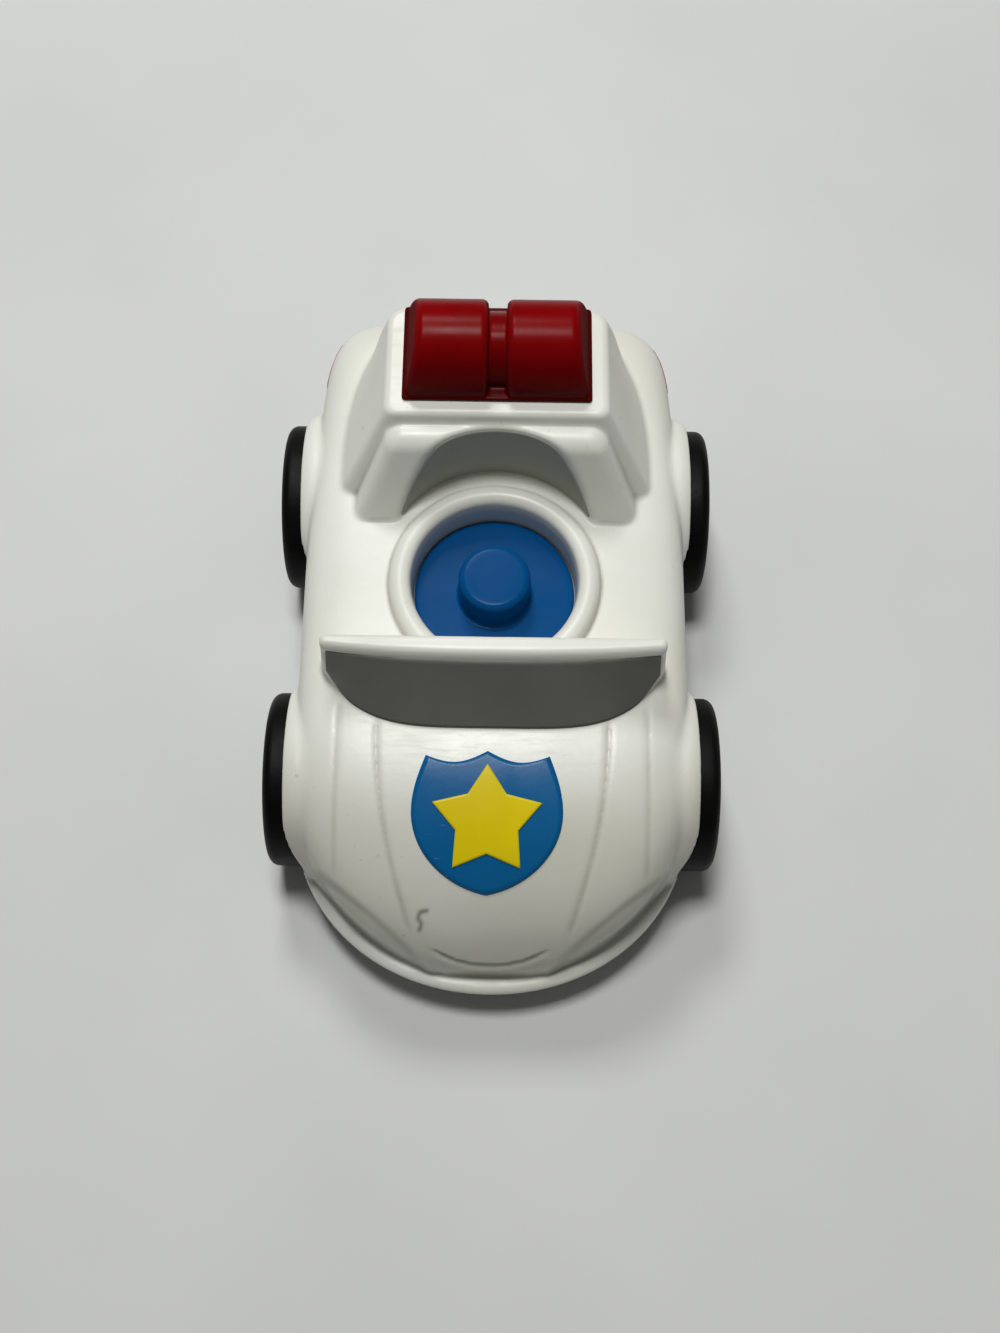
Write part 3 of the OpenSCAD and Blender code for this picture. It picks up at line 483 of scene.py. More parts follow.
def add_object(name, points, faces):
    """Smooth-shaded mesh object from points in millimetres."""
    mesh = bpy.data.meshes.new(name)
    mesh.from_pydata([tuple(p) for p in np.asarray(points) * MM], [], [tuple(f) for f in faces])
    mesh.update()
    mesh.polygons.foreach_set("use_smooth", [True] * len(mesh.polygons))
    piece = bpy.data.objects.new(name, mesh)
    bpy.context.scene.collection.objects.link(piece)
    return piece


def grid_axes(low, high, step):
    return [np.arange(a, b + step, step) for a, b in zip(low, high)]


def relax(points, quads, rounds):
    """Even out the steps of a volume's mesh without shrinking it."""
    start, end = quads.ravel(), np.roll(quads, -1, axis=1).ravel()
    total = len(points)
    near = np.maximum(np.bincount(start, minlength=total), 1)[:, None]
    for share in RELAX_SHARES * rounds:
        sums = [np.bincount(start, points[end, k], total) for k in range(3)]
        mean = np.stack(sums, axis=1) / near
        points = points + share * (mean - points)
    return points


def mesh_distance(name, distance, low, high, step):
    """Mesh of a distance field that is the same on both sides of x = 0, and the field itself."""
    xs, ys, zs = grid_axes((0, low[1], low[2]), high, step)
    half = distance(xs[:, None, None], ys[None, :, None], zs[None, None, :])
    field = np.concatenate([half[:0:-1], half]).astype(np.float32)
    field = np.clip(field, -FIELD_LIMIT, FIELD_LIMIT)
    volume = openvdb.FloatGrid(FIELD_LIMIT)
    volume.copyFromArray(field)
    points, quads = volume.convertToQuads(0.0)
    origin = np.array([-xs[-1], ys[0], zs[0]])
    points = relax(points.astype(float), quads.astype(np.int64), RELAX_ROUNDS) * step + origin
    piece = add_object(name, points, quads[:, ::-1].tolist())
    return piece, field, origin


def box_blur(field, reach):
    """Mean of a field over a cube of 2 reach + 1 cells."""
    size = 2 * reach + 1
    for axis in range(3):
        margins = [(reach + 1, reach) if a == axis else (0, 0) for a in range(3)]
        padded = np.pad(field, margins, mode="edge")
        total = np.cumsum(padded, axis=axis, dtype=np.float64)
        upper = np.take(total, range(size, total.shape[axis]), axis=axis)
        lower = np.take(total, range(0, total.shape[axis] - size), axis=axis)
        field = ((upper - lower) / size).astype(np.float32)
    return field


def sample(field, cells):
    """Values of a field at places between its cells."""
    low = np.clip(np.floor(cells).astype(int), 0, np.array(field.shape) - 2)
    share = cells - low
    total = np.zeros(len(cells))
    for corner in np.ndindex(2, 2, 2):
        at = low + corner
        weight = np.prod(np.where(corner, share, 1 - share), axis=1)
        total += weight * field[at[:, 0], at[:, 1], at[:, 2]]
    return total


def set_attribute(piece, name, values):
    attribute = piece.data.attributes.new(name, "FLOAT", "POINT")
    attribute.data.foreach_set("value", np.asarray(values, np.float32))


def vertex_array(piece):
    co = np.zeros(len(piece.data.vertices) * 3)
    piece.data.vertices.foreach_get("co", co)
    return co.reshape(-1, 3) / MM


def slab(name, upper, lower, closed=False):
    """Thin closed mesh between two grids of points; closed joins the columns and caps the first row."""
    rows, cols = upper.shape[:2]
    count = rows * cols
    points = np.concatenate([upper.reshape(-1, 3), lower.reshape(-1, 3)])
    turns = cols if closed else cols - 1

    def at(i, j):
        return i * cols + j % cols

    faces = []
    for i in range(rows - 1):
        for j in range(turns):
            a, b, c, d = at(i, j), at(i, j + 1), at(i + 1, j + 1), at(i + 1, j)
            faces += [(a, b, c, d), (count + d, count + c, count + b, count + a)]
    rims = [[at(rows - 1, j) for j in range(turns + 1)]]
    if closed:
        faces += [tuple(range(cols))[::-1], tuple(range(count, count + cols))]
    else:
        rims += [[at(0, j) for j in range(cols)][::-1]]
        rims += [[at(i, 0) for i in range(rows)], [at(i, cols - 1) for i in range(rows)][::-1]]
    for rim in rims:
        faces += [(a, b, count + b, count + a)[::-1] for a, b in zip(rim, rim[1:])]
    return add_object(name, points, faces)


def lathe(name, profile, place, axis, segments=128):
    """Solid turned from (radius, height) points about an axis, 'x' or 'z', at a place."""
    profile = np.array(profile)
    angles = np.linspace(0, 2 * math.pi, segments, endpoint=False)
    radius, height = profile[:, 0][:, None], profile[:, 1][:, None]
    across, up = radius * np.cos(angles), radius * np.sin(angles)
    along = np.broadcast_to(height, across.shape)
    order = [along, across, up] if axis == "x" else [across, up, along]
    points = np.stack(order, axis=-1).reshape(-1, 3) + place
    faces = []
    for i in range(0, (len(profile) - 1) * segments, segments):
        for j in range(segments):
            k = (j + 1) % segments
            faces.append((i + j, i + k, i + segments + k, i + segments + j))
    faces.append(tuple(range(segments))[::-1])
    faces.append(tuple(range((len(profile) - 1) * segments, len(profile) * segments)))
    return add_object(name, points, faces)


def arc(centre, r, start, end, steps=8):
    """Points of an arc, with angles in degrees."""
    turn = np.radians(np.linspace(start, end, steps + 1))
    return [(centre[0] + r * math.cos(a), centre[1] + r * math.sin(a)) for a in turn]


def face_outwards(piece):
    """Turn a closed mesh's faces outwards."""
    form = bmesh.new()
    form.from_mesh(piece.data)
    bmesh.ops.recalc_face_normals(form, faces=form.faces)
    form.to_mesh(piece.data)
    form.free()


# Materials

class Nodes:
    """Short ways to make and join shader nodes."""

    def __init__(self, name):
        self.material = bpy.data.materials.new(name)
        self.material.use_nodes = True
        self.tree = self.material.node_tree
        self.shader = self.tree.nodes["Principled BSDF"]
        self.place = self.add("ShaderNodeTexCoord").outputs["Object"]

    def add(self, kind, **values):
        node = self.tree.nodes.new(kind)
        for key, value in values.items():
            setattr(node, key, value)
        return node

    def join(self, source, socket):
        """Link an output to a socket, or set the socket to a constant."""
        if hasattr(source, "is_output"):
            self.tree.links.new(source, socket)
        else:
            socket.default_value = source

    def noise(self, scale, detail=4.0, roughness=0.55, stretch=None):
        """Noise over the piece; the scale is in waves to a metre."""
        node = self.add("ShaderNodeTexNoise")
        node.inputs["Scale"].default_value = scale
        node.inputs["Detail"].default_value = detail
        node.inputs["Roughness"].default_value = roughness
        source = self.place
        if stretch:
            mapping = self.add("ShaderNodeMapping")
            mapping.inputs["Scale"].default_value = stretch
            self.join(source, mapping.inputs["Vector"])
            source = mapping.outputs["Vector"]
        self.join(source, node.inputs["Vector"])
        return node.outputs["Fac"]

    def remap(self, value, low, high, to_low=0.0, to_high=1.0):
        """Value from one range spread over another, and kept within it."""
        node = self.add("ShaderNodeMapRange", clamp=True)
        limits = {"From Min": low, "From Max": high, "To Min": to_low, "To Max": to_high}
        for key, number in limits.items():
            node.inputs[key].default_value = number
        self.join(value, node.inputs["Value"])
        return node.outputs["Result"]

    def math(self, operation, a, b=0.0):
        node = self.add("ShaderNodeMath", operation=operation, use_clamp=True)
        self.join(a, node.inputs[0])
        self.join(b, node.inputs[1])
        return node.outputs[0]

    def mix(self, share, first, second):
        node = self.add("ShaderNodeMix", data_type="RGBA")
        self.join(share, node.inputs["Factor"])
        self.join(first, node.inputs["A"])
        self.join(second, node.inputs["B"])
        return node.outputs["Result"]

    def attribute(self, name):
        return self.add("ShaderNodeAttribute", attribute_name=name).outputs["Fac"]

    def coordinate(self, axis):
        """Place along X, Y or Z in metres."""
        split = self.add("ShaderNodeSeparateXYZ")
        self.join(self.place, split.inputs[0])
        return split.outputs[axis]

    def side(self):
        """How far the surface faces left or right."""
        split = self.add("ShaderNodeSeparateXYZ")
        self.join(self.add("ShaderNodeNewGeometry").outputs["Normal"], split.inputs[0])
        return self.math("ABSOLUTE", split.outputs["X"])

    def bump(self, value, strength, distance):
        node = self.add("ShaderNodeBump")
        node.inputs["Strength"].default_value = strength
        node.inputs["Distance"].default_value = distance
        self.join(value, node.inputs["Height"])
        self.join(node.outputs["Normal"], self.shader.inputs["Normal"])

    def set(self, **values):
        """Set the shader's inputs, named with _ for a space, and give the material back."""
        for key, value in values.items():
            self.join(value, self.shader.inputs[key.replace("_", " ")])
        return self.material


def colour(r, g, b):
    return (r, g, b, 1.0)


def white_plastic():
    n = Nodes("white_plastic")
    clean, warm = colour(0.80, 0.81, 0.74), colour(0.74, 0.74, 0.65)
    base = n.mix(n.remap(n.noise(22, 3), 0.35, 0.7), clean, warm)
    # Grime and painted shade in the body's hollows: darker where the surface is concave
    grime_and_shade_noise = n.remap(n.noise(90, 3), 0.25, 0.75, 0.45, 0.75)
    base = n.mix(n.math("MULTIPLY", n.attribute("hollow_grime_and_shade"), grime_and_shade_noise), base, colour(0.20, 0.19, 0.15))
    specks = n.remap(n.noise(420, 2), 0.73, 0.78, 0.0, 0.35)
    base = n.mix(specks, base, colour(0.35, 0.33, 0.28))
    # Dust and painted shade on the lower front, more of it on the fascia
    dust = n.remap(n.noise(35, 4), 0.3, 0.7, 0.7, 1.0)
    base = n.mix(n.math("MULTIPLY", n.attribute("dust"), dust), base, colour(0.36, 0.35, 0.27))
    # Dirt and painted shade along the hood's grooves and the fascia's edge, and a painted shadow under
    # the nose lip
    seam_dirt_and_shade = n.remap(n.noise(90, 4), 0.3, 0.7, 0.4, 0.8)
    base = n.mix(n.math("MULTIPLY", n.attribute("seam_dirt_and_shade"), seam_dirt_and_shade), base, colour(0.24, 0.23, 0.18))
    base = n.mix(n.attribute("scuff"), base, colour(0.10, 0.09, 0.08))
    scratch = n.remap(n.noise(90, 6, 0.7, (1.0, 9.0, 3.0)), 0.5, 0.72, 0.0, 0.14)
    rough = n.math("ADD", n.remap(n.noise(60, 4), 0.3, 0.75, 0.29, 0.40), scratch)
    n.bump(n.noise(700, 3), 0.05, 0.0004)
    return n.set(Base_Color=base, Roughness=rough, Specular_IOR_Level=0.38)


def grey_finish():
    n = Nodes("grey_finish")
    tone = n.remap(n.noise(45, 4), 0.3, 0.7)
    base = n.mix(tone, colour(0.125, 0.129, 0.111), colour(0.152, 0.157, 0.139))
    # Painted light: the grey lightens towards the rear, so the seat back's lining reads lighter than
    # the windshield
    seat_back_painted_light = n.remap(n.coordinate("Y"), 0.0, HOLLOW_Y * MM)
    base = n.mix(seat_back_painted_light, base, colour(0.33, 0.34, 0.305))
    rough = n.remap(n.noise(120, 4), 0.3, 0.7, 0.45, 0.6)
    n.bump(n.noise(900, 2), 0.08, 0.0003)
    return n.set(Base_Color=base, Roughness=rough, Specular_IOR_Level=0.3)


def red_lens():
    n = Nodes("red_lens")
    # Painted light: the lens is brighter red towards its top
    painted_top_light = n.remap(n.coordinate("Z"), (ROOF_Z + LENS_FLANGE_HIGH) * MM, lens_high[2] * MM)
    base = n.mix(painted_top_light, colour(0.080, 0.0008, 0.001), colour(0.21, 0.001, 0.002))
    cloud = n.remap(n.noise(70, 3), 0.45, 0.75, 0.0, 0.25)
    base = n.mix(cloud, base, colour(0.10, 0.001, 0.001))
    n.bump(n.noise(260, 2), 0.04, 0.0004)
    gloss = n.remap(n.noise(150, 5), 0.3, 0.8, 0.24, 0.34)
    ends = n.remap(n.side(), 0.4, 0.9, 0.0, 0.6)
    return n.set(Base_Color=base, Roughness=n.math("ADD", gloss, ends), Specular_IOR_Level=0.05)


def printed_label(name, first, second):
    n = Nodes(name)
    base = n.mix(n.remap(n.noise(50, 4), 0.35, 0.7), first, second)
    worn = n.remap(n.noise(130, 6, 0.7, (1.0, 6.0, 2.0)), 0.66, 0.74, 0.0, 0.22)
    base = n.mix(worn, base, colour(0.55, 0.56, 0.55))
    rough = n.remap(n.noise(90, 4), 0.3, 0.7, 0.22, 0.34)
    n.bump(n.noise(500, 3), 0.05, 0.0003)
    return n.set(Base_Color=base, Roughness=rough, Specular_IOR_Level=0.2)


def blue_plastic():
    n = Nodes("blue_plastic")
    tone = n.remap(n.noise(40, 3), 0.35, 0.7)
    base = n.mix(tone, colour(0.001, 0.070, 0.230), colour(0.001, 0.060, 0.200))
    specks = n.remap(n.noise(300, 3), 0.7, 0.78, 0.0, 0.2)
    base = n.mix(specks, base, colour(0.10, 0.17, 0.28))
    rough = n.remap(n.noise(80, 5), 0.3, 0.75, 0.16, 0.28)
    n.bump(n.noise(600, 3), 0.05, 0.0003)
    return n.set(Base_Color=base, Roughness=rough, Specular_IOR_Level=0.06)


def black_plastic():
    n = Nodes("black_plastic")
    dust = n.remap(n.noise(70, 6, 0.65), 0.5, 0.8, 0.0, 0.3)
    base = n.mix(dust, colour(0.0020, 0.0020, 0.0018), colour(0.009, 0.0088, 0.0082))
    rough = n.remap(n.noise(110, 4), 0.3, 0.7, 0.42, 0.6)
    n.bump(n.noise(800, 3), 0.12, 0.0004)
    return n.set(Base_Color=base, Roughness=rough, Specular_IOR_Level=0.1)


def dark_plastic():
    n = Nodes("dark_plastic")
    tone = n.remap(n.noise(55, 4), 0.35, 0.7)
    base = n.mix(tone, colour(0.028, 0.028, 0.028), colour(0.042, 0.041, 0.039))
    rough = n.remap(n.noise(140, 4), 0.3, 0.7, 0.45, 0.62)
    n.bump(n.noise(900, 2), 0.10, 0.0003)
    return n.set(Base_Color=base, Roughness=rough)


def steel():
    n = Nodes("steel")
    tone = n.remap(n.noise(200, 5), 0.3, 0.7)
    base = n.mix(tone, colour(0.52, 0.52, 0.52), colour(0.42, 0.42, 0.41))
    rough = n.remap(n.noise(260, 4), 0.3, 0.7, 0.28, 0.42)
    n.bump(n.noise(300, 4, 0.6, (0.1, 1.0, 1.0)), 0.06, 0.0002)
    return n.set(Base_Color=base, Metallic=1.0, Roughness=rough)


def pale_floor():
    n = Nodes("pale_floor")
    tone = n.remap(n.noise(9, 3), 0.3, 0.7)
    base = n.mix(tone, colour(0.66, 0.67, 0.655), colour(0.71, 0.72, 0.705))
    n.bump(n.noise(500, 2), 0.05, 0.0004)
    return n.set(Base_Color=base, Roughness=0.9)


BLUES = colour(0.002, 0.100, 0.270), colour(0.003, 0.112, 0.295)
YELLOWS = colour(0.70, 0.55, 0.003), colour(0.78, 0.62, 0.004)
REDS = colour(0.22, 0.015, 0.015), colour(0.28, 0.02, 0.02)
MATERIALS = {
    "white_plastic": white_plastic(),
    "grey_finish": grey_finish(),
    "red_lens": red_lens(),
    "blue_label": printed_label("blue_label", *BLUES),
    "yellow_label": printed_label("yellow_label", *YELLOWS),
    "red_label": printed_label("red_label", *REDS),
    "blue_plastic": blue_plastic(),
    "black_plastic": black_plastic(),
    "dark_plastic": dark_plastic(),
    "steel": steel(),
}


def finish_piece(piece, body, slot, *nodes):
    """Give a piece its material, its body and the CAD nodes that it stands for."""
    piece.data.materials.clear()
    piece.data.materials.append(MATERIALS[slot])
    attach(piece, body)
    if nodes:
        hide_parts(*nodes)


# Pieces

BODY_STEP, BODY_GRID_Y, GRID_MARGIN = 0.5, 82.0, 2.0

# Marks on the body: grime with painted shade in its hollows, a scuff on the hood, dirt with painted
# shade along the seams, a painted shadow under the nose lip, and dust with painted shade on the lower
# front
HOLLOW_SHADE_CELLS, HOLLOW_SHADE_LEAST, HOLLOW_SHADE_RANGE = 3, 0.08, 0.5
SCUFF_LINE = [(-13.5, -65.8), (-14.9, -66.1), (-15.3, -67.2), (-14.6, -68.2), (-15.0, -69.3)]
SCUFF_HALF, SCUFF_LEAST_Z, SCUFF_STRENGTH = 0.45, 20.0, 0.75
INNER_GROOVE_DIRT_AND_SHADE, OUTER_GROOVE_DIRT_AND_SHADE, FASCIA_EDGE_DIRT_AND_SHADE, LIP_SHADOW = 0.55, 0.4, 0.6, 0.8
SEAM_HALF, SEAM_BACK_Y, SEAM_BACK_FADE, SEAM_FOOT, SEAM_FOOT_FADE = 0.5, -24.0, 3.0, 3.0, 2.0
FASCIA_LINE_OUT, FASCIA_LINE_Y, FASCIA_LINE_FADE = 0.2, -54.0, 4.0
LIP_SHADOW_DROP, LIP_SHADOW_OVER, LIP_SHADOW_FADE = 0.5, 1.0, 3.0
DUST_BACK_Y, DUST_BACK_FADE, DUST_FOOT, DUST_FOOT_FADE = -28.0, 26.0, 1.5, 2.0
FRONT_DUST_AND_SHADE, FASCIA_DUST_AND_SHADE, FASCIA_DUST_FADE = 0.40, 0.16, 3.0


def line_distance(x, y, line):
    """Distance in plan from a line of places."""
    least = np.full_like(x, np.inf)
    for (x0, y0), (x1, y1) in zip(line, line[1:]):
        dx, dy = x1 - x0, y1 - y0
        t = np.clip(((x - x0) * dx + (y - y0) * dy) / (dx * dx + dy * dy), 0, 1)
        least = np.minimum(least, np.hypot(x - x0 - t * dx, y - y0 - t * dy))
    return least


def seam_dirt_and_painted_shade(x, y, z):
    """Dirt and painted shade along the hood's grooves and edges, and a painted shadow under the nose
    lip.
    """
    dirt = INNER_GROOVE_DIRT_AND_SHADE * inner_groove(x, y) + OUTER_GROOVE_DIRT_AND_SHADE * outer_groove(x, y)
    edge = ridge((fascia_side(x, y) - FASCIA_LINE_OUT) / SEAM_HALF)
    dirt += FASCIA_EDGE_DIRT_AND_SHADE * edge * smooth_step((FASCIA_LINE_Y - y) / FASCIA_LINE_FADE)
    # Painted shadow just under the nose lip's edge
    edge = ridge((z - lip_z(x) + LIP_SHADOW_DROP) / SEAM_HALF) * (y < LIP_BACK_Y)
    dirt += LIP_SHADOW * edge * smooth_step((LIP_HALF + LIP_SHADOW_OVER - np.abs(x)) / LIP_SHADOW_FADE)
    front = smooth_step((SEAM_BACK_Y - y) / SEAM_BACK_FADE)
    return dirt * front * smooth_step((z - WAIST - SEAM_FOOT) / SEAM_FOOT_FADE)


def front_dust_and_shade(x, y, z):
    """Dust and painted shade on the lower front, more of it on the fascia."""
    front = smooth_step((DUST_BACK_Y - y) / DUST_BACK_FADE)
    front = front * smooth_step((z - WAIST - DUST_FOOT) / DUST_FOOT_FADE)
    return front * (FRONT_DUST_AND_SHADE + FASCIA_DUST_AND_SHADE * smooth_step(fascia_side(x, y) / FASCIA_DUST_FADE))


def make_body():
    """The moulding, with its dirt and painted shade as values on its points."""
    low = (0, -BODY_GRID_Y, CLEARANCE - GRID_MARGIN)
    high = (ARCH_HALF + GRID_MARGIN, BODY_GRID_Y, ROOF_Z + GRID_MARGIN)
    piece, field, origin = mesh_distance("body_moulding", body_distance, low, high, BODY_STEP)
    places = vertex_array(piece)
    x, y, z = places.T
    # Concavity of the surface, which sets the grime and painted shade in its hollows
    hollow = sample(field - box_blur(field, HOLLOW_SHADE_CELLS), (places - origin) / BODY_STEP)
    mark = ridge(line_distance(x, y, SCUFF_LINE) / SCUFF_HALF) * (z > SCUFF_LEAST_Z)
    set_attribute(piece, "hollow_grime_and_shade", np.clip((hollow - HOLLOW_SHADE_LEAST) / HOLLOW_SHADE_RANGE, 0, 1))
    set_attribute(piece, "scuff", SCUFF_STRENGTH * mark)
    set_attribute(piece, "seam_dirt_and_shade", seam_dirt_and_painted_shade(x, y, z))
    set_attribute(piece, "dust", front_dust_and_shade(x, y, z))
    finish_piece(piece, "car", "white_plastic", "body_shell")


def make_screen():
    """Grey skin on the windshield's face, with its lower corners cut off in a curve."""
    inset, foot_gap, top_gap, proud, root = 1.2, 0.1, 2.6, 0.45, 0.3
    corner, corner_share = 3.0, 0.18
    columns, rows = 97, 25
    across = np.sin(np.radians(np.linspace(-90, 90, columns)))
    u, v = np.meshgrid(across, np.linspace(0, 1, rows))
    cut = np.clip((np.abs(u) - 1 + corner_share) / corner_share, 0, 1)
    low_z, high_z = DECK + foot_gap + corner * cut ** 2, SCREEN_TOP - top_gap
    z = low_z + (high_z - low_z) * v
    x = u * (screen_half(z) - inset)
    y = SCREEN_BACK_Y - screen_depth(x, z)
    front = np.stack([x, y - proud, z], axis=-1)
    back = np.stack([x, y + root, z], axis=-1)
    piece = slab("windshield_panel", front, back)
    face_outwards(piece)
    finish_piece(piece, "car", "grey_finish", "windshield_screen")


def make_lining():
    """Grey skin in the hollow of the seat back, trimmed to the seat back's rounded form."""
    edge, root, least_height, low_root, back_root = 0.9, 0.3, 1.0, 0.5, 0.2
    levels, columns, rows, first_angle = 240, 141, 25, 20
    heights = np.linspace(DECK - low_root, BACK_TOP_Z, levels)
    angles = np.radians(np.linspace(first_angle, 180 - first_angle, columns))
    r = HOLLOW_R - LINING / 2
    x, y = r * np.cos(angles), HOLLOW_Y + r * np.sin(angles)
    inside = back_block(x[:, None], y[:, None], heights[None, :]) < -edge
    tops = np.array([heights[row.nonzero()[0].max()] if row.any() else DECK for row in inside])
    kept = tops > DECK + least_height
    angles, tops = angles[kept], tops[kept]
    share = np.linspace(0, 1, rows)[:, None]
    z = DECK - root + (tops - DECK + root) * share

    def skin(radius):
        across = np.broadcast_to(radius * np.cos(angles), z.shape)
        along = np.broadcast_to(HOLLOW_Y + radius * np.sin(angles), z.shape)
        return np.stack([across, along, z], axis=-1)

    piece = slab("seat_back_skin", skin(r), skin(HOLLOW_R + back_root))
    face_outwards(piece)
    finish_piece(piece, "car", "grey_finish", "seat_back_lining")


def make_lens():
    margin, step = 1.2, 0.3

    def placed(x, y, z):
        return lens_distance(x, y - LENS_Y, z - ROOF_Z)

    piece, _, _ = mesh_distance("light_bar", placed, lens_low - margin, lens_high + margin, step)
    finish_piece(piece, "car", "red_lens", "light_bar_lens")


# Hood labels
SHIELD_X, SHIELD_Y, SHIELD_WIDTH, SHIELD_LENGTH = -0.9, -48.3, 32.3, 30.6
SHIELD_CORNER_SHARES, SHIELD_SCOOP_SHARE = (0.82, 0.93), 0.13
SHIELD_WIDEST_SHARE, SHIELD_POINT_SHARE = 0.12, 0.25
STAR_POINTS, STAR_R, STAR_WAIST_SHARE = 5, 12.3, 0.57
HOOD_SLOPE_SHARE, LABEL_LIFT, LABEL_THICKNESS = 0.95, 0.05, 0.3
LABEL_RINGS, LABEL_CAP_SHARE = 14, 0.1


def shield_outline(steps=16):
    """Scooped top, bowed sides, and a foot of two arcs that meet in a point."""
    t = np.arange(steps) / steps
    corner_x, corner_y = SHIELD_CORNER_SHARES
    scoop = SHIELD_SCOOP_SHARE * np.sin(math.pi * t)
    top = np.stack([corner_x * t, 1 - (1 - corner_y) * t - scoop], axis=-1)
    side_x = corner_x + (1 - corner_x) * np.sin(math.pi / 2 * t)
    side = np.stack([side_x, corner_y - (corner_y - SHIELD_WIDEST_SHARE) * t], axis=-1)
    foot_r = 1 + SHIELD_POINT_SHARE
    foot_angle = math.acos(SHIELD_POINT_SHARE / foot_r)
    a = foot_angle * np.arange(2 * steps + 1) / (2 * steps)
    drop = (1 + SHIELD_WIDEST_SHARE) * np.sin(a) / math.sin(foot_angle)
    foot = np.stack([foot_r * np.cos(a) - SHIELD_POINT_SHARE, SHIELD_WIDEST_SHARE - drop], axis=-1)
    right = np.concatenate([top, side, foot])
    left = right[-2:0:-1] * (-1, 1)
    return np.concatenate([right, left]) * (SHIELD_WIDTH / 2, SHIELD_LENGTH / 2)


def star_outline(steps=10):
    corner = np.arange(2 * STAR_POINTS + 1)
    turn = np.radians(90 - 180 / STAR_POINTS * corner)
    r = STAR_R * np.where(corner % 2, STAR_WAIST_SHARE, 1)
    tips = np.stack([r * np.cos(turn), r * np.sin(turn)], axis=-1)
    t = np.arange(steps)[:, None] / steps
    return np.concatenate([a + (b - a) * t for a, b in zip(tips, tips[1:])])


def make_hood_label(name, outline, lift, slot, node):
    """Thin label that follows the hood, made of rings round its middle."""
    rings = np.linspace(LABEL_CAP_SHARE, 1, LABEL_RINGS)[:, None, None]
    plan = np.array([SHIELD_X, SHIELD_Y]) + outline * (1, HOOD_SLOPE_SHARE) * rings
    x, y = plan[..., 0], plan[..., 1]
    z = surface_z(x, y) + lift
    upper = np.stack([x, y, z + LABEL_THICKNESS], axis=-1)
    lower = np.stack([x, y, z - LABEL_LIFT], axis=-1)
    piece = slab(name, upper, lower, closed=True)
    face_outwards(piece)
    finish_piece(piece, "car", slot, node)


def make_labels():
    star_lift = 2 * LABEL_LIFT + LABEL_THICKNESS
    make_hood_label("hood_shield", shield_outline(), LABEL_LIFT, "blue_label", "badge_shield")
    make_hood_label("hood_star", star_outline(), star_lift, "yellow_label", "badge_star")


def make_seat():
    """Round seat plate with its peg, and the spindle under it."""
    edge, fillet, spindle_root, spindle_segments = 0.6, 0.8, 1.0, 48
    outer_flat, inner_flat, flat_points, peg_flat = 2.0, 1.0, 8, 1.0
    plate_r, top, foot = (seat_high[0] - seat_low[0]) / 2, seat_high[2], seat_low[2]
    under = SEAT_Z - SEAT_THICKNESS
    profile = [(AXIS_R, under)]
    profile += arc((plate_r - edge, under + edge), edge, -90, 0)
    profile += arc((plate_r - edge, SEAT_Z - edge), edge, 0, 90)
    profile += [(r, SEAT_Z) for r in np.linspace(plate_r - outer_flat, PEG_R + inner_flat, flat_points)]
    profile += arc((PEG_R + fillet, SEAT_Z + fillet), fillet, -90, -180)
    profile += arc((PEG_R - PEG_ROUND, top - PEG_ROUND), PEG_ROUND, 0, 90, 12)
    profile += [(r, top) for r in (PEG_R - PEG_ROUND - peg_flat, PEG_R / 4, AXIS_R)]
    piece = lathe("seat_disc", profile, (0, SEAT_Y, 0), "z")
    face_outwards(piece)
    head = SEAT_Z - spindle_root
    profile = [(AXIS_R, foot), (SPINDLE_R, foot), (SPINDLE_R, head), (AXIS_R, head)]
    spindle = lathe("seat_spindle", profile, (0, SEAT_Y, 0), "z", spindle_segments)
    face_outwards(spindle)
    finish_piece(piece, "seat", "blue_plastic", "seat_plate")
    finish_piece(spindle, "seat", "blue_plastic")


def wheel_profile():
    """Turned outline of a wheel from its inner face to its outer face, heights from the inner face."""
    width = wheel_high[0] - wheel_low[0]
    rim_width, shoulder, hub, dish = 4.5, 2.2, 7.0, 2.5
    tread_inset, tread_points = 1.0, 5
    back_dish, back_edge, back_lip = 6.0, 0.6, 0.5
    rim_round, hub_fillet, hub_round, hub_flat = 0.7, 0.8, 1.2, 3.0
    rim, back_low, dish_z = WHEEL_R - rim_width, back_dish - back_edge, width - dish
    tread_end = shoulder + tread_inset
    profile = [(AXIS_R, 0.0)]
    profile += arc((hub - back_edge, back_edge), back_edge, -90, 0, 4)
    profile += [(hub, back_low), (hub + back_edge, back_dish)]
    profile += [(rim - back_edge, back_dish), (rim, back_low)]
    profile += [(rim, back_lip), (rim + back_lip, 0.0)]
    profile += arc((WHEEL_R - shoulder, shoulder), shoulder, -90, 0)
    profile += [(WHEEL_R, t) for t in np.linspace(tread_end, width - tread_end, tread_points)]
    profile += arc((WHEEL_R - shoulder, width - shoulder), shoulder, 0, 90)
    profile += arc((rim + rim_round, width - rim_round), rim_round, 90, 180, 5)
    profile += arc((rim - rim_round, dish_z + rim_round), rim_round, 0, -90, 5)
    profile += arc((hub + hub_fillet, dish_z + hub_fillet), hub_fillet, -90, -180, 5)
    profile += arc((hub - hub_round, width - hub_round), hub_round, 0, 90)
    profile += [(hub - hub_flat, width), (AXIS_R, width)]
    return profile


def make_wheels():
    profile = np.array(wheel_profile())
    for end, axle_y in zip(("front", "rear"), AXLES_Y):
        for side, sign in (("left", -1), ("right", 1)):
            turned = profile * (1, sign) + (0, sign * WHEEL_X)
            piece = lathe(f"tyre_{end}_{side}", turned, (0, axle_y, AXLE_Z), "x")
            face_outwards(piece)
            finish_piece(piece, f"{end}_wheelset", "black_plastic", f"wheel_{end}_{side}")


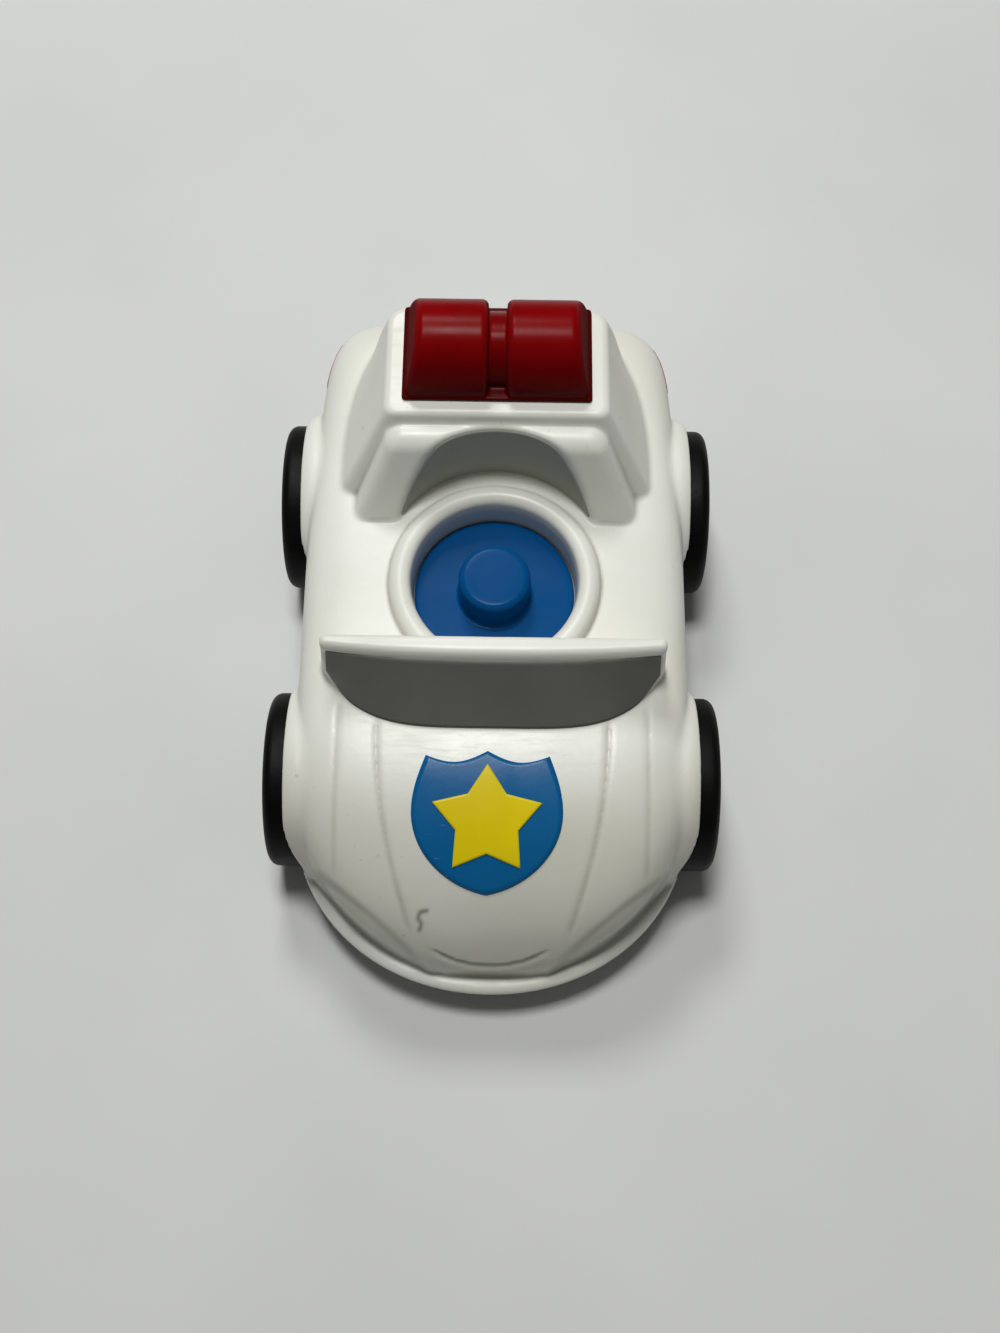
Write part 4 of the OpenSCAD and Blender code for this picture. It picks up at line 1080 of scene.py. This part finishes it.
def dress_cad_nodes():
    """Procedural materials on the CAD nodes that stay as they are."""
    slots = {s["node"]: s["material_slot"] for s in frame["record"]["subparts"]}
    for name, piece in frame["nodes"].items():
        piece.data.materials.clear()
        piece.data.materials.append(MATERIALS[slots[name]])


# Stage, light and camera

FOCAL_PX, PHOTO_LONG_SIDE, SENSOR = 1600.0, 1333.0, 36.0
CAMERA_ELEVATION, CAMERA_YAW, CAMERA_ROLL = 68.649, 0.389, 1.157
CAMERA_AWAY, CAMERA_RIGHT, CAMERA_UP, CAMERA_AIM_Y = 396.997, 1.573, 1.338, 2.0
FLOOR_HALF = 3000.0

# Nearest place that the camera shows, in metres
CLIP_START = 0.01

# Lamps: name, place in metres, size in metres, power in watts
LAMPS = (
    ("ceiling", (-0.06, 0.16, 1.2), 0.24, 7.5),
    ("rear", (-0.15, 0.66, 0.95), 0.26, 4.3),
)
LAMP_AIM = Vector((0, 0, 0.03))
SKY_COLOUR, SKY_STRENGTH = colour(1.0, 1.0, 1.0), 0.09


def make_camera():
    """Camera fitted to the photograph: aimed from above the front of the car."""
    el, yaw, roll = (math.radians(a) for a in (CAMERA_ELEVATION, CAMERA_YAW, CAMERA_ROLL))
    right = Vector((math.cos(yaw), -math.sin(yaw), 0))
    ahead = Vector((math.sin(yaw) * math.cos(el), math.cos(yaw) * math.cos(el), -math.sin(el)))
    up = right.cross(ahead)
    aim = Vector((0, CAMERA_AIM_Y, 0))
    place = CAMERA_RIGHT * right + CAMERA_UP * up - CAMERA_AWAY * ahead + aim
    level = math.cos(roll) * right + math.sin(roll) * up
    upright = math.cos(roll) * up - math.sin(roll) * right
    camera = bpy.data.objects.new("camera", bpy.data.cameras.new("camera"))
    camera.data.sensor_width = SENSOR
    camera.data.lens = FOCAL_PX / PHOTO_LONG_SIDE * SENSOR
    camera.data.clip_start = CLIP_START
    turn = Matrix((level, upright, -ahead)).transposed()
    camera.matrix_world = Matrix.Translation(place * MM) @ turn.to_4x4()
    bpy.context.scene.collection.objects.link(camera)
    bpy.context.scene.camera = camera


def make_floor():
    """Plain pale floor, which isn't part of the car."""
    corners = [(-1, -1), (1, -1), (1, 1), (-1, 1)]
    points = [(FLOOR_HALF * x, FLOOR_HALF * y, 0) for x, y in corners]
    floor = add_object("floor", points, [(0, 1, 2, 3)])
    floor.data.materials.append(pale_floor())


def add_light(name, place, size, power):
    """Square lamp that faces the middle of the car."""
    lamp = bpy.data.lights.new(name, "AREA")
    lamp.size, lamp.energy = size, power
    light = bpy.data.objects.new(name, lamp)
    light.location = place
    light.rotation_euler = (LAMP_AIM - Vector(place)).to_track_quat("-Z", "Y").to_euler()
    bpy.context.scene.collection.objects.link(light)


def make_light():
    """The lamps and a faint white sky."""
    for lamp in LAMPS:
        add_light(*lamp)
    world = bpy.data.worlds.new("studio")
    world.use_nodes = True
    sky = world.node_tree.nodes["Background"]
    sky.inputs["Color"].default_value = SKY_COLOUR
    sky.inputs["Strength"].default_value = SKY_STRENGTH
    bpy.context.scene.world = world


make_camera()
dress_cad_nodes()
make_body()
make_screen()
make_lining()
make_lens()
make_labels()
make_seat()
make_wheels()
make_floor()
make_light()
bpy.context.scene.view_settings.view_transform = "Standard"
